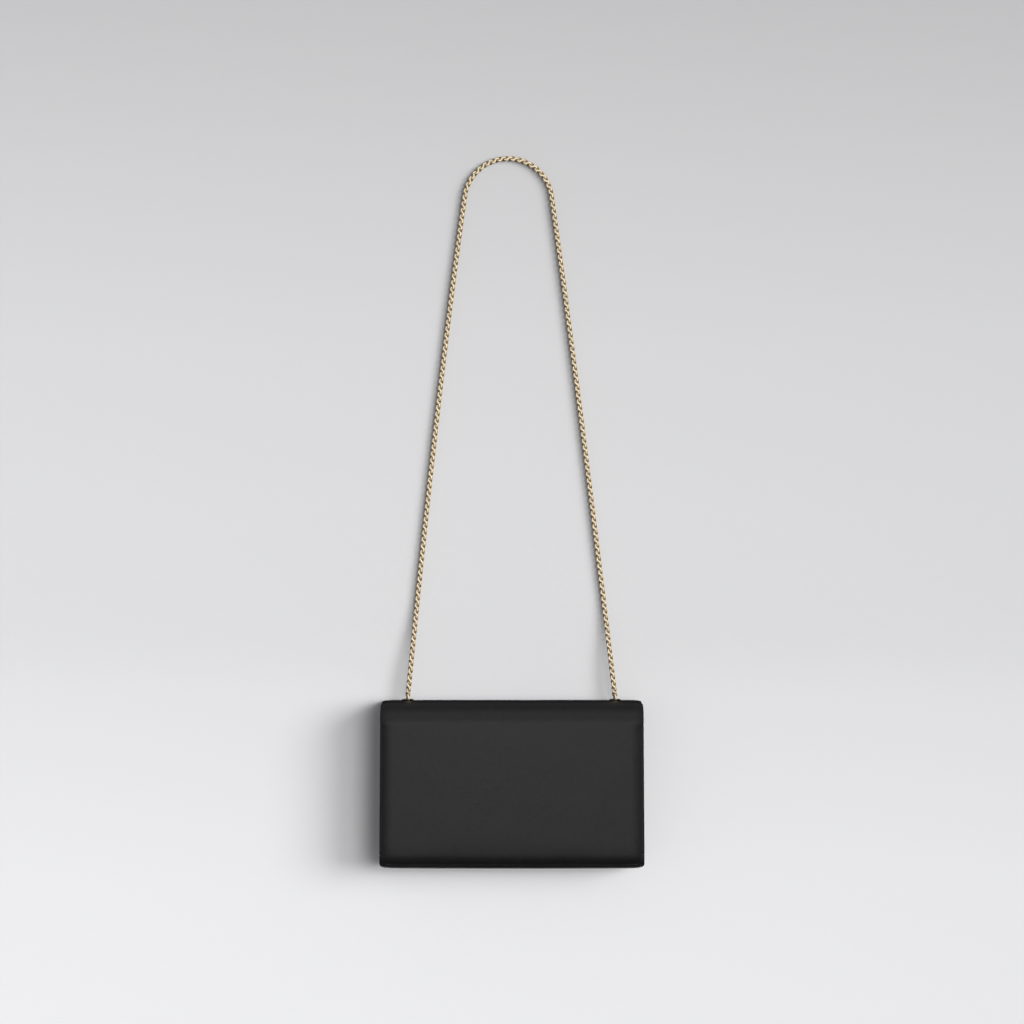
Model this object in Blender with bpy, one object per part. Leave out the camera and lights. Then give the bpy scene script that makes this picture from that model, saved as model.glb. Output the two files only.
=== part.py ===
"""A small structured leather shoulder bag that hangs by a curb chain.

The full-length flap opens on a hinge line across the top. The chain passes through
two eyelets in the rear roof strip and ends inside on D-rings. Metres, +Z up, the
front looks along -Y. The origin is the point under the top of the chain's loop,
where the peg carries the bag.
"""

import math

import bmesh
import bpy
from mathutils import Matrix, Vector

# Overall sizes of the bag
body_width = 0.240
body_height = 0.1530
body_depth = 0.050
top_taper = 0.001
side_corner_radius = 0.0035
bottom_radius = 0.014
roof_rear_radius = 0.004
flap_roll_radius = 0.018

# Materials, in the order of a wall from outside to inside
leather_thickness = 0.0013
board_thickness = 0.0012
lining_thickness = 0.0005
seat_gap = 0.0003
edge_band = 0.009
edge_drop = 0.001
board_inset = 0.010
lining_inset = 0.0048

# The flap
flap_reveal = 0.002
flap_clearance = 0.0004
flap_edge_height = 0.0026
flap_lining_inset = 0.0022
hinge_gap = 0.00015

# The mouth and the gussets
front_top_drop = 0.019
gusset_setback = 0.0012
gusset_front_drop = 0.021
gusset_rear_drop = 0.0085
gusset_fold_depth = 0.009
gusset_fold_height = 0.090

# Eyelets in the rear roof strip
roof_strip_depth = 0.018
eyelet_inset = 0.0243
eyelet_setback = 0.0095
eyelet_bore = 0.0068
eyelet_wall = 0.0005
eyelet_flange = 0.0110
eyelet_flange_height = 0.0009
eyelet_lip = 0.0005
washer_thickness = 0.0008
hole_clearance = 0.0003

# The chain
hang_drop = 0.4980
bag_shift = 0.0031
peg_arc_radius = 0.0405
peg_leave_angle = math.radians(82)
foot_lean_left = math.radians(5.6)
foot_lean_right = math.radians(6.8)
link_pitch = 0.0061
link_width = 0.0050
wire_diameter = 0.0015
wire_overlap = 0.0001
link_twist = math.radians(100)
pivot_height = 0.0039
pivot_clearance = 0.00045
arc_link_margin = 1
split_slack = 0.0002
split_wire_share = 0.8

# The inside ends of the chain
inner_links = 4
d_ring_wire = 0.0020
d_ring_inner_width = 0.0110
d_ring_height = 0.0100
chape_width = 0.0095
chape_thickness = 0.0012
chape_length = 0.026
rivet_shank = 0.0030
rivet_head = 0.0080
rivet_head_height = 0.0012
rivet_setback = 0.008

# Closure magnets and the slip pocket
magnet_diameter = 0.016
magnet_spacing = 0.120
magnet_rise = 0.031
pocket_width = 0.120
pocket_height = 0.078
pocket_depth = 0.0055
pocket_wall = 0.0008
pocket_rise = 0.0153

# Fineness of the round forms
arc_steps = 4
rear_steps = 3
roll_steps = 6
route_steps = 60
bow_steps = 8
round_sides = 14
small_sides = 10
wire_sides = 3
ring_sides = 6
cut_overrun = 0.002

half_width = body_width / 2
half_depth = body_depth / 2
hinge_y = half_depth - roof_strip_depth
eyelet_y = half_depth - eyelet_setback
eyelet_spacing = body_width - 2 * eyelet_inset
wall = leather_thickness + board_thickness + lining_thickness + 2 * seat_gap
body_front_y = -half_depth + wall + flap_clearance
corner_z = -body_height + bottom_radius
flap_corner_radius = bottom_radius + wall + flap_clearance
rear_corner_y = half_depth - bottom_radius
front_corner_y = body_front_y + bottom_radius
board_offset = leather_thickness + seat_gap
lining_offset = board_offset + board_thickness + seat_gap
bag_origin = Vector((bag_shift, -eyelet_y, -hang_drop))
swing_pivot = bag_origin + Vector((0, eyelet_y, pivot_height))
flap_pivot = bag_origin + Vector((0, hinge_y, 0))


def clear_scene():
    for obj in list(bpy.data.objects):
        bpy.data.objects.remove(obj, do_unlink=True)


def finish(name, colour, roughness, metallic):
    material = bpy.data.materials.new(name)
    material.use_nodes = True
    shader = material.node_tree.nodes["Principled BSDF"]
    shader.inputs["Base Color"].default_value = (*colour, 1)
    shader.inputs["Roughness"].default_value = roughness
    shader.inputs["Metallic"].default_value = metallic
    return material


def leather():
    return finish("black_leather", (0.028, 0.028, 0.029), 0.48, 0)


def lining_cloth():
    return finish("lining", (0.045, 0.040, 0.038), 0.85, 0)


def stiff_sheet():
    return finish("stiff_sheet", (0.55, 0.55, 0.53), 0.6, 0)


def gold_plate():
    return finish("gold_plate", (0.72, 0.58, 0.37), 0.25, 1)


def dark_plate():
    return finish("dark_plate", (0.12, 0.10, 0.08), 0.35, 1)


def magnet_steel():
    return finish("magnet_steel", (0.55, 0.55, 0.56), 0.35, 1)


def pivot_empty(name, place, parent=None):
    empty = bpy.data.objects.new(name, None)
    empty.empty_display_size = bottom_radius
    bpy.context.scene.collection.objects.link(empty)
    empty.parent = parent
    empty.location = place - (parent.location if parent else Vector())
    return empty


def solid(name, verts, faces, material, parent=None, smooth_angle=math.radians(40)):
    """A closed mesh in the bag's frame, or in the world's where it has no parent."""
    mesh = bpy.data.meshes.new(name)
    mesh.from_pydata([tuple(v) for v in verts], [], faces)
    bm = bmesh.new()
    bm.from_mesh(mesh)
    bmesh.ops.recalc_face_normals(bm, faces=bm.faces)
    bm.to_mesh(mesh)
    bm.free()
    mesh.shade_smooth()
    mesh.set_sharp_from_angle(angle=smooth_angle)
    mesh.materials.append(material)
    obj = bpy.data.objects.new(name, mesh)
    bpy.context.scene.collection.objects.link(obj)
    if parent:
        obj.parent = parent
        pivot = parent.location + (parent.parent.location if parent.parent else Vector())
        obj.location = bag_origin - pivot
    return obj


def sheet(name, outer, inner, material, parent):
    """A sheet between two grids of points, closed round its rim."""
    rows = len(outer)
    columns = len(outer[0])
    verts = [p for row in outer for p in row] + [p for row in inner for p in row]
    under = rows * columns
    faces = []
    for i in range(rows - 1):
        for j in range(columns - 1):
            a = i * columns + j
            b = a + 1
            c = a + columns
            d = c + 1
            faces.append((a, b, d, c))
            faces.append((under + a, under + c, under + d, under + b))
    rim = [j for j in range(columns)]
    rim += [i * columns + columns - 1 for i in range(1, rows)]
    rim += [(rows - 1) * columns + j for j in range(columns - 2, -1, -1)]
    rim += [i * columns for i in range(rows - 2, 0, -1)]
    for k, a in enumerate(rim):
        b = rim[(k + 1) % len(rim)]
        faces.append((a, under + a, under + b, b))
    return solid(name, verts, faces, material, parent)


def arc(centre_y, centre_z, radius, start, end, steps):
    """Points of a wall's arc, each with its outward direction."""
    found = []
    for k in range(steps + 1):
        angle = start + (end - start) * k / steps
        out = (math.cos(angle), math.sin(angle))
        found.append((centre_y + radius * out[0], centre_z + radius * out[1], *out))
    return found


def roof_path():
    rear_top = arc(
        half_depth - roof_rear_radius, -roof_rear_radius, roof_rear_radius,
        math.pi / 2, 0, rear_steps,
    )
    return [(hinge_y + hinge_gap, 0, 0, 1)] + rear_top


def back_path():
    return roof_path() + [(half_depth, corner_z + seat_gap, 1, 0)]


def base_path():
    rear = arc(rear_corner_y, corner_z, bottom_radius, 0, -math.pi / 2, arc_steps)
    front = arc(front_corner_y, corner_z, bottom_radius, -math.pi / 2, -math.pi, arc_steps)
    return rear + front


def front_path():
    low = (body_front_y, corner_z + seat_gap, -1, 0)
    return [low, (body_front_y, -front_top_drop, -1, 0)]


def flap_path():
    """The flap's outer face, from the hinge line over the roll to its lower edge."""
    roll_y = -half_depth + flap_roll_radius
    roll = arc(roll_y, -flap_roll_radius, flap_roll_radius, math.pi / 2, math.pi, roll_steps)
    reach = math.asin((bottom_radius - flap_edge_height) / flap_corner_radius)
    low = arc(front_corner_y, corner_z, flap_corner_radius, math.pi, math.pi + reach, arc_steps)
    return [(hinge_y - hinge_gap, 0, 0, 1)] + roll + low


def width_at(z, half):
    """Half the width at a height: it narrows a little to the top and rounds at the base."""
    side = half - top_taper * (1 + z / body_height)
    below = -z - (body_height - side_corner_radius)
    if below <= 0:
        return side
    below = min(below, side_corner_radius)
    return side - side_corner_radius + math.sqrt(side_corner_radius ** 2 - below ** 2)


def stations(edge):
    """Places across the width, close together over the rounded side edges."""
    band_shares = (1, 0.7, 0)
    right = [edge - edge_band * (1 - share) for share in band_shares]
    return [-x for x in right] + [0] + list(reversed(right))


def drop_at(x, edge):
    into = max(0, abs(x) - (edge - edge_band)) / edge_band
    return edge_drop * into ** 2


def panel(name, path, half, offset, thickness, material, parent, dropped=False, inset=0):
    """A panel of even thickness that follows a wall's path at a depth below its face."""
    outer = []
    inner = []
    for y, z, out_y, out_z in path:
        edge = width_at(z, half) - inset
        upper_row = []
        lower_row = []
        places = stations(edge) if dropped else [-edge, edge]
        for x in places:
            top = offset + (drop_at(x, edge) if dropped else 0)
            low = top + thickness
            upper_row.append((x, y - out_y * top, z - out_z * top))
            lower_row.append((x, y - out_y * low, z - out_z * low))
        outer.append(upper_row)
        inner.append(lower_row)
    return sheet(name, outer, inner, material, parent)


def turned(profile, sides):
    """Rings of a turned piece round Z: profile is a closed outline of radius and height."""
    verts = []
    faces = []
    count = len(profile)
    for k in range(sides):
        angle = 2 * math.pi * k / sides
        for radius, height in profile:
            verts.append(Vector((radius * math.cos(angle), radius * math.sin(angle), height)))
    for k in range(sides):
        after = (k + 1) % sides
        for i in range(count):
            j = (i + 1) % count
            faces.append((k * count + i, after * count + i, after * count + j, k * count + j))
    return verts, faces


def disc(radius, low, high, sides):
    """A plain round bar round Z, closed by its two ends."""
    ring = [2 * math.pi * k / sides for k in range(sides)]
    verts = [Vector((radius * math.cos(a), radius * math.sin(a), low)) for a in ring]
    verts += [Vector((radius * math.cos(a), radius * math.sin(a), high)) for a in ring]
    faces = [tuple(reversed(range(sides))), tuple(range(sides, 2 * sides))]
    for k in range(sides):
        after = (k + 1) % sides
        faces.append((k, after, sides + after, sides + k))
    return verts, faces


def moved(verts, place, turn=Matrix.Identity(3)):
    return [turn @ v + Vector(place) for v in verts]


def cut(obj, verts, faces, parent):
    """Cuts a shape out of a piece."""
    cutter = solid(obj.name + "_cutter", verts, faces, obj.data.materials[0], parent)
    cutter.hide_render = True
    cutter.display_type = "WIRE"
    modifier = obj.modifiers.new("cut", "BOOLEAN")
    modifier.operation = "DIFFERENCE"
    modifier.solver = "EXACT"
    modifier.object = cutter


def cut_round(obj, centre, radius, length, turn, sides, parent):
    verts, faces = disc(radius, -length / 2, length / 2, sides)
    cut(obj, moved(verts, centre, turn), faces, parent)


upright = Matrix.Identity(3)
facing = Matrix.Rotation(math.pi / 2, 3, "X")


def eyelet_places():
    return {"left": -eyelet_spacing / 2, "right": eyelet_spacing / 2}


def cut_eyelet_holes(obj, parent):
    radius = eyelet_bore / 2 + eyelet_wall + hole_clearance
    for x in eyelet_places().values():
        centre = (x, eyelet_y, -wall / 2)
        cut_round(obj, centre, radius, wall + cut_overrun, upright, round_sides, parent)


def cut_rivet_holes(obj, parent):
    radius = rivet_shank / 2 + hole_clearance
    for x in eyelet_places().values():
        centre = (x, half_depth - leather_thickness - wall / 2, rivet_z())
        length = wall + 2 * chape_thickness + 2 * cut_overrun
        turn = facing
        cut_round(obj, centre, radius, length, turn, small_sides, parent)


def magnet_places():
    return {"left": -magnet_spacing / 2, "right": magnet_spacing / 2}


def cut_magnet_holes(obj, y, parent):
    radius = magnet_diameter / 2 + hole_clearance
    for x in magnet_places().values():
        centre = (x, y, magnet_rise - body_height)
        cut_round(obj, centre, radius, board_thickness + cut_overrun, facing, round_sides, parent)


def make_back_panel(bag, skin):
    obj = panel("back_panel", back_path(), half_width, 0, leather_thickness, skin, bag, True)
    cut_eyelet_holes(obj, bag)


def make_front_panel(bag, skin):
    panel("front_panel", front_path(), half_width, 0, leather_thickness, skin, bag, True)


def make_base_panel(bag, skin):
    panel("base_panel", base_path(), half_width, 0, leather_thickness, skin, bag, True)


def flat_board(name, points, stiff, parent):
    half = half_width
    return panel(name, points, half, board_offset, board_thickness, stiff, parent, False, board_inset)


def make_body_boards(bag, stiff):
    low = corner_z + seat_gap
    back = flat_board(
        "back_board",
        [(half_depth, -roof_rear_radius - board_inset, 1, 0), (half_depth, low, 1, 0)],
        stiff, bag,
    )
    cut_rivet_holes(back, bag)
    front = flat_board("front_board", [(body_front_y, low, -1, 0),
                                       (body_front_y, -front_top_drop - seat_gap, -1, 0)], stiff, bag)
    cut_magnet_holes(front, body_front_y + board_offset + board_thickness / 2, bag)
    flat_board(
        "base_board",
        [(rear_corner_y, -body_height, 0, -1), (front_corner_y, -body_height, 0, -1)],
        stiff, bag,
    )
    stay = flat_board(
        "roof_stay",
        [(hinge_y + hinge_gap, 0, 0, 1), (half_depth - roof_rear_radius, 0, 0, 1)],
        stiff, bag,
    )
    cut_eyelet_holes(stay, bag)


def make_body_lining(bag, cloth):
    path = back_path()[:-1] + base_path() + front_path()[1:]
    obj = panel(
        "body_lining", path, half_width, lining_offset, lining_thickness, cloth, bag,
        False, lining_inset,
    )
    cut_eyelet_holes(obj, bag)
    cut_rivet_holes(obj, bag)


def wall_span(z, inset):
    """Where the front and rear walls' faces, this far in, stand at a height."""
    below = corner_z - z
    if below <= 0:
        return body_front_y + inset, half_depth - inset
    radius = bottom_radius - inset
    reach = math.sqrt(max(0, radius ** 2 - below ** 2))
    return front_corner_y - reach, rear_corner_y + reach


def gusset_head(share):
    """The height of a gusset's top edge, from the front wall to the rear one."""
    return -gusset_front_drop + (gusset_front_drop - gusset_rear_drop) * share


def gusset_fold(y, z):
    """How far the gusset is folded inwards at a point of its side."""
    low, high = wall_span(0, leather_thickness + edge_drop + seat_gap)
    share = min(1, max(0, (y - low) / (high - low)))
    below = max(0, gusset_head(share) - z)
    depth = gusset_fold_depth * max(0, 1 - below / gusset_fold_height)
    return depth * (1 - abs(2 * share - 1))


def gusset_sheet(name, side, x_out, inset, thickness, material, parent):
    """A side wall with an inward fold that fades out down the side."""
    depth_shares = (0, 0.25, 0.5, 0.75, 1)
    height_shares = (0, 0.2, 0.4, 0.65, 1)
    floor = -body_height + inset
    rows = [(share, 0) for share in height_shares]
    rows += [(1, math.pi / 2 * k / arc_steps) for k in range(1, arc_steps + 1)]
    outer = []
    inner = []
    for down, turn in rows:
        upper_row = []
        lower_row = []
        for share in depth_shares:
            head = gusset_head(share)
            z = head + (corner_z - head) * down - (corner_z - floor) * math.sin(turn)
            low_y, high_y = wall_span(z, inset)
            y = low_y + (high_y - low_y) * share
            x = x_out - gusset_fold(y, z)
            upper_row.append((side * x, y, z))
            lower_row.append((side * (x - thickness), y, z))
        outer.append(upper_row)
        inner.append(lower_row)
    return sheet(name, outer, inner, material, parent)


def make_gussets(bag, skin, cloth):
    for side, name in ((-1, "left"), (1, "right")):
        x_out = half_width - top_taper - gusset_setback
        inset = leather_thickness + edge_drop + seat_gap
        gusset_sheet("gusset_" + name, side, x_out, inset, leather_thickness, skin, bag)
        x_lining = x_out - leather_thickness - seat_gap
        inset = wall + seat_gap
        gusset_sheet(
            "gusset_lining_" + name, side, x_lining, inset, lining_thickness, cloth, bag
        )


def make_flap(flap, skin, stiff, cloth):
    half = half_width - flap_reveal
    path = flap_path()
    panel("flap_leather", path, half, 0, leather_thickness, skin, flap, True)
    panel(
        "flap_lining", path, half, lining_offset, lining_thickness, cloth, flap,
        False, flap_lining_inset,
    )
    face = [(-half_depth, -flap_roll_radius - seat_gap, -1, 0), (-half_depth, corner_z, -1, 0)]
    board = panel(
        "flap_board", face, half, board_offset, board_thickness, stiff, flap, False, board_inset
    )
    cut_magnet_holes(board, -half_depth + board_offset + board_thickness / 2, flap)


def make_magnets(bag, flap, steel):
    for name, x in magnet_places().items():
        for kind, face, parent in (("body", body_front_y, bag), ("flap", -half_depth, flap)):
            low = board_offset
            verts, faces = disc(magnet_diameter / 2, -low - board_thickness, -low, round_sides)
            place = (x, face, magnet_rise - body_height)
            solid(f"{kind}_magnet_{name}", moved(verts, place, facing), faces, steel, parent)


def eyelet_profile():
    bore = eyelet_bore / 2
    outer = bore + eyelet_wall
    flange = eyelet_flange / 2
    seat = seat_gap
    crown = seat + eyelet_flange_height
    under = -wall - 2 * seat_gap - washer_thickness
    return [
        (bore, crown - eyelet_lip),
        (bore + eyelet_lip, crown),
        (flange - eyelet_lip, crown - eyelet_lip / 2),
        (flange, seat),
        (outer, seat),
        (outer, under - seat_gap),
        (outer + eyelet_lip, under - seat_gap),
        (outer + eyelet_lip, under - seat_gap - eyelet_wall),
        (bore, under - seat_gap - eyelet_wall),
    ]


def washer_profile():
    bore = eyelet_bore / 2 + eyelet_wall + hole_clearance
    flange = eyelet_flange / 2
    top = -wall - seat_gap
    low = top - washer_thickness
    return [(bore, top), (flange, top), (flange, low), (bore, low)]


def make_eyelets(bag, plate):
    for name, x in eyelet_places().items():
        for kind, profile in (("eyelet", eyelet_profile()), ("eyelet_washer", washer_profile())):
            verts, faces = turned(profile, round_sides)
            solid(f"{kind}_{name}", moved(verts, (x, eyelet_y, 0)), faces, plate, bag)


def wire_loop(path, radius, sides):
    """A closed wire along a loop of points; returns its points and faces."""
    count = len(path)
    centre = sum(path, Vector()) / count
    verts = []
    faces = []
    for i, point in enumerate(path):
        along = (path[(i + 1) % count] - path[i - 1]).normalized()
        out = point - centre
        out = (out - along * out.dot(along)).normalized()
        across = along.cross(out)
        for k in range(sides):
            angle = 2 * math.pi * (k + 1 / 2) / sides
            verts.append(point + (out * math.cos(angle) + across * math.sin(angle)) * radius)
    for i in range(count):
        after = (i + 1) % count
        for k in range(sides):
            on = (k + 1) % sides
            faces.append((i * sides + k, i * sides + on, after * sides + on, after * sides + k))
    return verts, faces


def link_loop(low, high, width, low_twist, high_twist, up, right, front, centre):
    """The wire's path in one chain link, twisted from its low end to its high end."""
    radius = width / 2
    length = high - low
    half_straight = length / 2 - radius
    end_shares = ((math.sqrt(3) / 2, 1 / 2), (math.sqrt(3) / 2, -1 / 2))
    flat = [(-half_straight, radius), (half_straight, radius)]
    flat += [(half_straight + radius * a, radius * b) for a, b in end_shares]
    flat += [(half_straight, -radius), (-half_straight, -radius)]
    flat += [(-half_straight - radius * a, -radius * b) for a, b in end_shares]
    points = []
    for along, across in flat:
        share = along / length + 1 / 2
        twist = low_twist + (high_twist - low_twist) * share
        place = centre + up * (low + length * share)
        points.append(place + right * across * math.cos(twist) + front * across * math.sin(twist))
    return points


def chain_route():
    """The chain's centre line, from the left pivot up over the peg and down to the right."""
    top = link_width / 2
    pull_share = 0.33
    feet = {
        -1: (bag_shift - eyelet_spacing / 2, foot_lean_left),
        1: (bag_shift + eyelet_spacing / 2, foot_lean_right),
    }
    foot_z = pivot_height - hang_drop
    runs = {}
    for side, (foot_x, lean) in feet.items():
        high = Vector((
            side * peg_arc_radius * math.sin(peg_leave_angle), 0,
            top - peg_arc_radius + peg_arc_radius * math.cos(peg_leave_angle),
        ))
        low = Vector((foot_x, 0, foot_z))
        reach = (high.z - low.z) * pull_share
        high_pull = high - Vector((-side * math.cos(peg_leave_angle), 0,
                                   math.sin(peg_leave_angle))) * reach
        low_pull = low + Vector((-side * math.sin(lean), 0, math.cos(lean))) * reach
        run = []
        for k in range(route_steps + 1):
            t = k / route_steps
            run.append(
                low * (1 - t) ** 3 + low_pull * 3 * t * (1 - t) ** 2
                + high_pull * 3 * t ** 2 * (1 - t) + high * t ** 3
            )
        runs[side] = run
    points = runs[-1][:-1]
    for k in range(route_steps + 1):
        angle = peg_leave_angle * (2 * k / route_steps - 1)
        points.append(Vector((
            peg_arc_radius * math.sin(angle), 0,
            top - peg_arc_radius + peg_arc_radius * math.cos(angle),
        )))
    return points + list(reversed(runs[1]))[1:]


def measured(points):
    lengths = [0]
    for a, b in zip(points, points[1:]):
        lengths.append(lengths[-1] + (b - a).length)
    return lengths


def point_at(points, lengths, distance):
    """The place and direction at a distance along a route."""
    k = 0
    while k < len(points) - 2 and lengths[k + 1] < distance:
        k += 1
    span = points[k + 1] - points[k]
    share = (distance - lengths[k]) / span.length
    return points[k] + span * share, span.normalized()


def joined_links(name, loops, plate, parent=None):
    """One solid of links that touch: even and odd links are two shells, then united."""
    shells = []
    for start in (0, 1):
        verts = []
        faces = []
        for path, radius, sides in loops[start::2]:
            more, turns = wire_loop(path, radius, sides)
            faces += [tuple(len(verts) + i for i in face) for face in turns]
            verts += more
        shells.append(solid(name if start == 0 else name + "_odd", verts, faces, plate, parent))
    shells[1].hide_render = True
    shells[1].display_type = "WIRE"
    modifier = shells[0].modifiers.new("unite", "BOOLEAN")
    modifier.operation = "UNION"
    modifier.solver = "EXACT"
    modifier.object = shells[1]
    return shells[0]


front_side = Vector((0, -1, 0))


def curb_link(low_end, high_end, low_twist, high_twist, up, centre, wire_share=1):
    right = Matrix.Rotation(math.pi / 2, 3, "Y") @ up
    width = link_width - wire_diameter
    path = link_loop(low_end, high_end, width, low_twist, high_twist, up, right, front_side, centre)
    return path, wire_diameter / 2 * wire_share, wire_sides


def make_outer_chain(plate):
    """The chain above the eyelets: two runs and the loop over the peg."""
    route = chain_route()
    lengths = measured(route)
    count = round(lengths[-1] / link_pitch)
    pitch = lengths[-1] / count
    grip = wire_diameter / 2 + wire_overlap / 2
    loops = []
    for i in range(count):
        middle, along = point_at(route, lengths, (i + 1 / 2) * pitch)
        low = -pitch / 2 - grip
        high = pitch / 2 + grip
        low_twist = -link_twist / 2
        high_twist = link_twist / 2
        if i == 0:
            low = -pitch / 2
            low_twist = 0
        if i == count - 1:
            high = pitch / 2
            high_twist = 0
        loops.append((low, high, low_twist, high_twist, along, middle))
    run_length = lengths[len(route) // 3]
    left_last = round(run_length / pitch) - arc_link_margin
    right_first = count - left_last
    sections = {
        "chain_left_run": loops[:left_last],
        "chain_arc": loops[left_last:right_first],
        "chain_right_run": loops[right_first:],
    }
    for name, group in sections.items():
        made = []
        for k, (low, high, low_twist, high_twist, along, middle) in enumerate(group):
            share = 1
            if k == 0 and name != "chain_left_run":
                low -= split_slack
                share = split_wire_share
            if k == len(group) - 1 and name != "chain_right_run":
                high += split_slack
                share = split_wire_share
            made.append(curb_link(low, high, low_twist, high_twist, along, middle, share))
        joined_links(name, made, plate)


def d_ring_top():
    """The place of the D-ring's top wire, where the chain's last inner link holds it."""
    return pivot_height - link_pitch * (inner_links + 2)


def d_bar_place():
    lining_face = half_depth - wall
    bar_y = lining_face - seat_gap - chape_thickness - seat_gap - d_ring_wire / 2
    drop = math.sqrt(d_ring_height ** 2 - (bar_y - eyelet_y) ** 2)
    return bar_y, d_ring_top() - drop


def make_inner_chains(bag, plate):
    """The chain's ends inside the bag: a swivel link, curb links and a larger end link."""
    up = Vector((0, 0, 1))
    grip = wire_diameter / 2 + wire_overlap / 2
    for name, x in eyelet_places().items():
        loops = []
        top = pivot_height
        across = wire_diameter + pivot_clearance
        quarter = -math.pi / 2
        centre = Vector((x, eyelet_y, top - link_pitch / 2))
        path = link_loop(
            -link_pitch / 2 - grip, link_pitch / 2 + across, 2 * across,
            -link_twist / 2, quarter, up, Vector((1, 0, 0)), front_side, centre,
        )
        loops.append((path, wire_diameter / 2, wire_sides))
        for k in range(1, inner_links + 1):
            centre = Vector((x, eyelet_y, top - link_pitch * (k + 1 / 2)))
            loops.append(curb_link(
                -link_pitch / 2 - grip, link_pitch / 2 + grip,
                -link_twist / 2, link_twist / 2, up, centre,
            ))
        across = d_ring_wire / 2 + wire_diameter / 2 + pivot_clearance
        centre = Vector((x, eyelet_y, top - link_pitch * (inner_links + 3 / 2)))
        path = link_loop(
            -link_pitch / 2 - across, link_pitch / 2 + grip, 2 * across,
            quarter, -link_twist / 2 + quarter / 2, up, Vector((1, 0, 0)), front_side, centre,
        )
        loops.append((path, wire_diameter / 2, wire_sides))
        joined_links("inner_chain_" + name, loops, plate, bag)


def make_d_rings(bag, plate):
    """A D of round wire: its straight bar lies in the leather chape."""
    bar_y, bar_z = d_bar_place()
    top_z = d_ring_top()
    lean = Vector((0, eyelet_y - bar_y, top_z - bar_z)).normalized()
    half = d_ring_inner_width / 2 + d_ring_wire / 2
    for name, x in eyelet_places().items():
        bar = Vector((x, bar_y, bar_z))
        height = d_ring_height
        side_rise = height - half
        path = [bar + Vector((-half, 0, 0)), bar + Vector((half, 0, 0))]
        for k in range(bow_steps + 1):
            angle = math.pi * k / bow_steps
            path.append(
                bar + Vector((half * math.cos(angle), 0, 0))
                + lean * (side_rise + half * math.sin(angle))
            )
        verts, faces = wire_loop(path, d_ring_wire / 2, ring_sides)
        solid("d_ring_" + name, verts, faces, plate, bag)


def strap_outline(path, thickness):
    """The closed outline of a strap of even thickness along a path."""
    left = []
    right = []
    for i, point in enumerate(path):
        before = path[max(0, i - 1)]
        after = path[min(len(path) - 1, i + 1)]
        along = (after - before).normalized()
        side = Vector((-along.y, along.x))
        left.append(point + side * thickness / 2)
        right.append(point - side * thickness / 2)
    return left + list(reversed(right))


def extruded(outline, low_x, high_x):
    """An outline of Y and Z drawn out along X."""
    count = len(outline)
    verts = [Vector((low_x, p.x, p.y)) for p in outline]
    verts += [Vector((high_x, p.x, p.y)) for p in outline]
    faces = [tuple(range(count)), tuple(reversed(range(count, 2 * count)))]
    for k in range(count):
        after = (k + 1) % count
        faces.append((k, count + k, count + after, after))
    return verts, faces


def chape_end_z():
    return d_bar_place()[1] - chape_length


def rivet_z():
    return chape_end_z() + rivet_setback


def make_chapes(bag, skin):
    """The leather tab that holds the D-ring, folded round its bar with both ends together."""
    bar_y, bar_z = d_bar_place()
    loop = d_ring_wire / 2 + seat_gap + chape_thickness / 2
    rear_y = bar_y + loop
    front_y = rear_y - chape_thickness - seat_gap
    end_z = chape_end_z()
    neck_share = 3
    path = [Vector((rear_y, end_z)), Vector((rear_y, bar_z))]
    for k in range(1, arc_steps * 2):
        angle = math.pi * k / (arc_steps * 2)
        path.append(Vector((bar_y + loop * math.cos(angle), bar_z + loop * math.sin(angle))))
    path.append(Vector((bar_y - loop, bar_z)))
    path.append(Vector((bar_y - loop, bar_z - loop)))
    path.append(Vector((front_y, bar_z - loop * neck_share)))
    path.append(Vector((front_y, end_z)))
    outline = strap_outline(path, chape_thickness)
    for name, x in eyelet_places().items():
        verts, faces = extruded(outline, x - chape_width / 2, x + chape_width / 2)
        obj = solid("chape_" + name, verts, faces, skin, bag)
        centre = (x, (front_y + rear_y) / 2, rivet_z())
        length = 2 * chape_thickness + cut_overrun
        radius = rivet_shank / 2 + hole_clearance
        cut_round(obj, centre, radius, length, facing, small_sides, bag)


def make_rivets(bag, plate):
    """A domed rivet through the chape, the lining and the back board."""
    bar_y = d_bar_place()[0]
    front_face = bar_y + d_ring_wire / 2 - chape_thickness
    head_y = front_face - seat_gap
    end_y = half_depth - leather_thickness - 2 * seat_gap
    head = rivet_head / 2
    profile = [
        (0, -(end_y - head_y)),
        (rivet_shank / 2, -(end_y - head_y)),
        (rivet_shank / 2, 0),
        (head, 0),
        (head * math.cos(math.pi / 6), rivet_head_height / 2),
        (head / 2, rivet_head_height),
        (0, rivet_head_height),
    ]
    for name, x in eyelet_places().items():
        verts, faces = lathed(profile, small_sides)
        place = (x, head_y, rivet_z())
        solid("rivet_" + name, moved(verts, place, facing), faces, plate, bag)


def lathed(profile, sides):
    """A turned piece whose profile starts and ends on the axis."""
    low = Vector((0, 0, profile[0][1]))
    high = Vector((0, 0, profile[-1][1]))
    rings = profile[1:-1]
    verts = [low, high]
    for radius, height in rings:
        for k in range(sides):
            angle = 2 * math.pi * k / sides
            verts.append(Vector((radius * math.cos(angle), radius * math.sin(angle), height)))
    faces = []
    last = 2 + (len(rings) - 1) * sides
    for k in range(sides):
        on = (k + 1) % sides
        faces.append((0, 2 + on, 2 + k))
        faces.append((1, last + k, last + on))
        for r in range(len(rings) - 1):
            a = 2 + r * sides
            b = a + sides
            faces.append((a + k, a + on, b + on, b + k))
    return verts, faces


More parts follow.
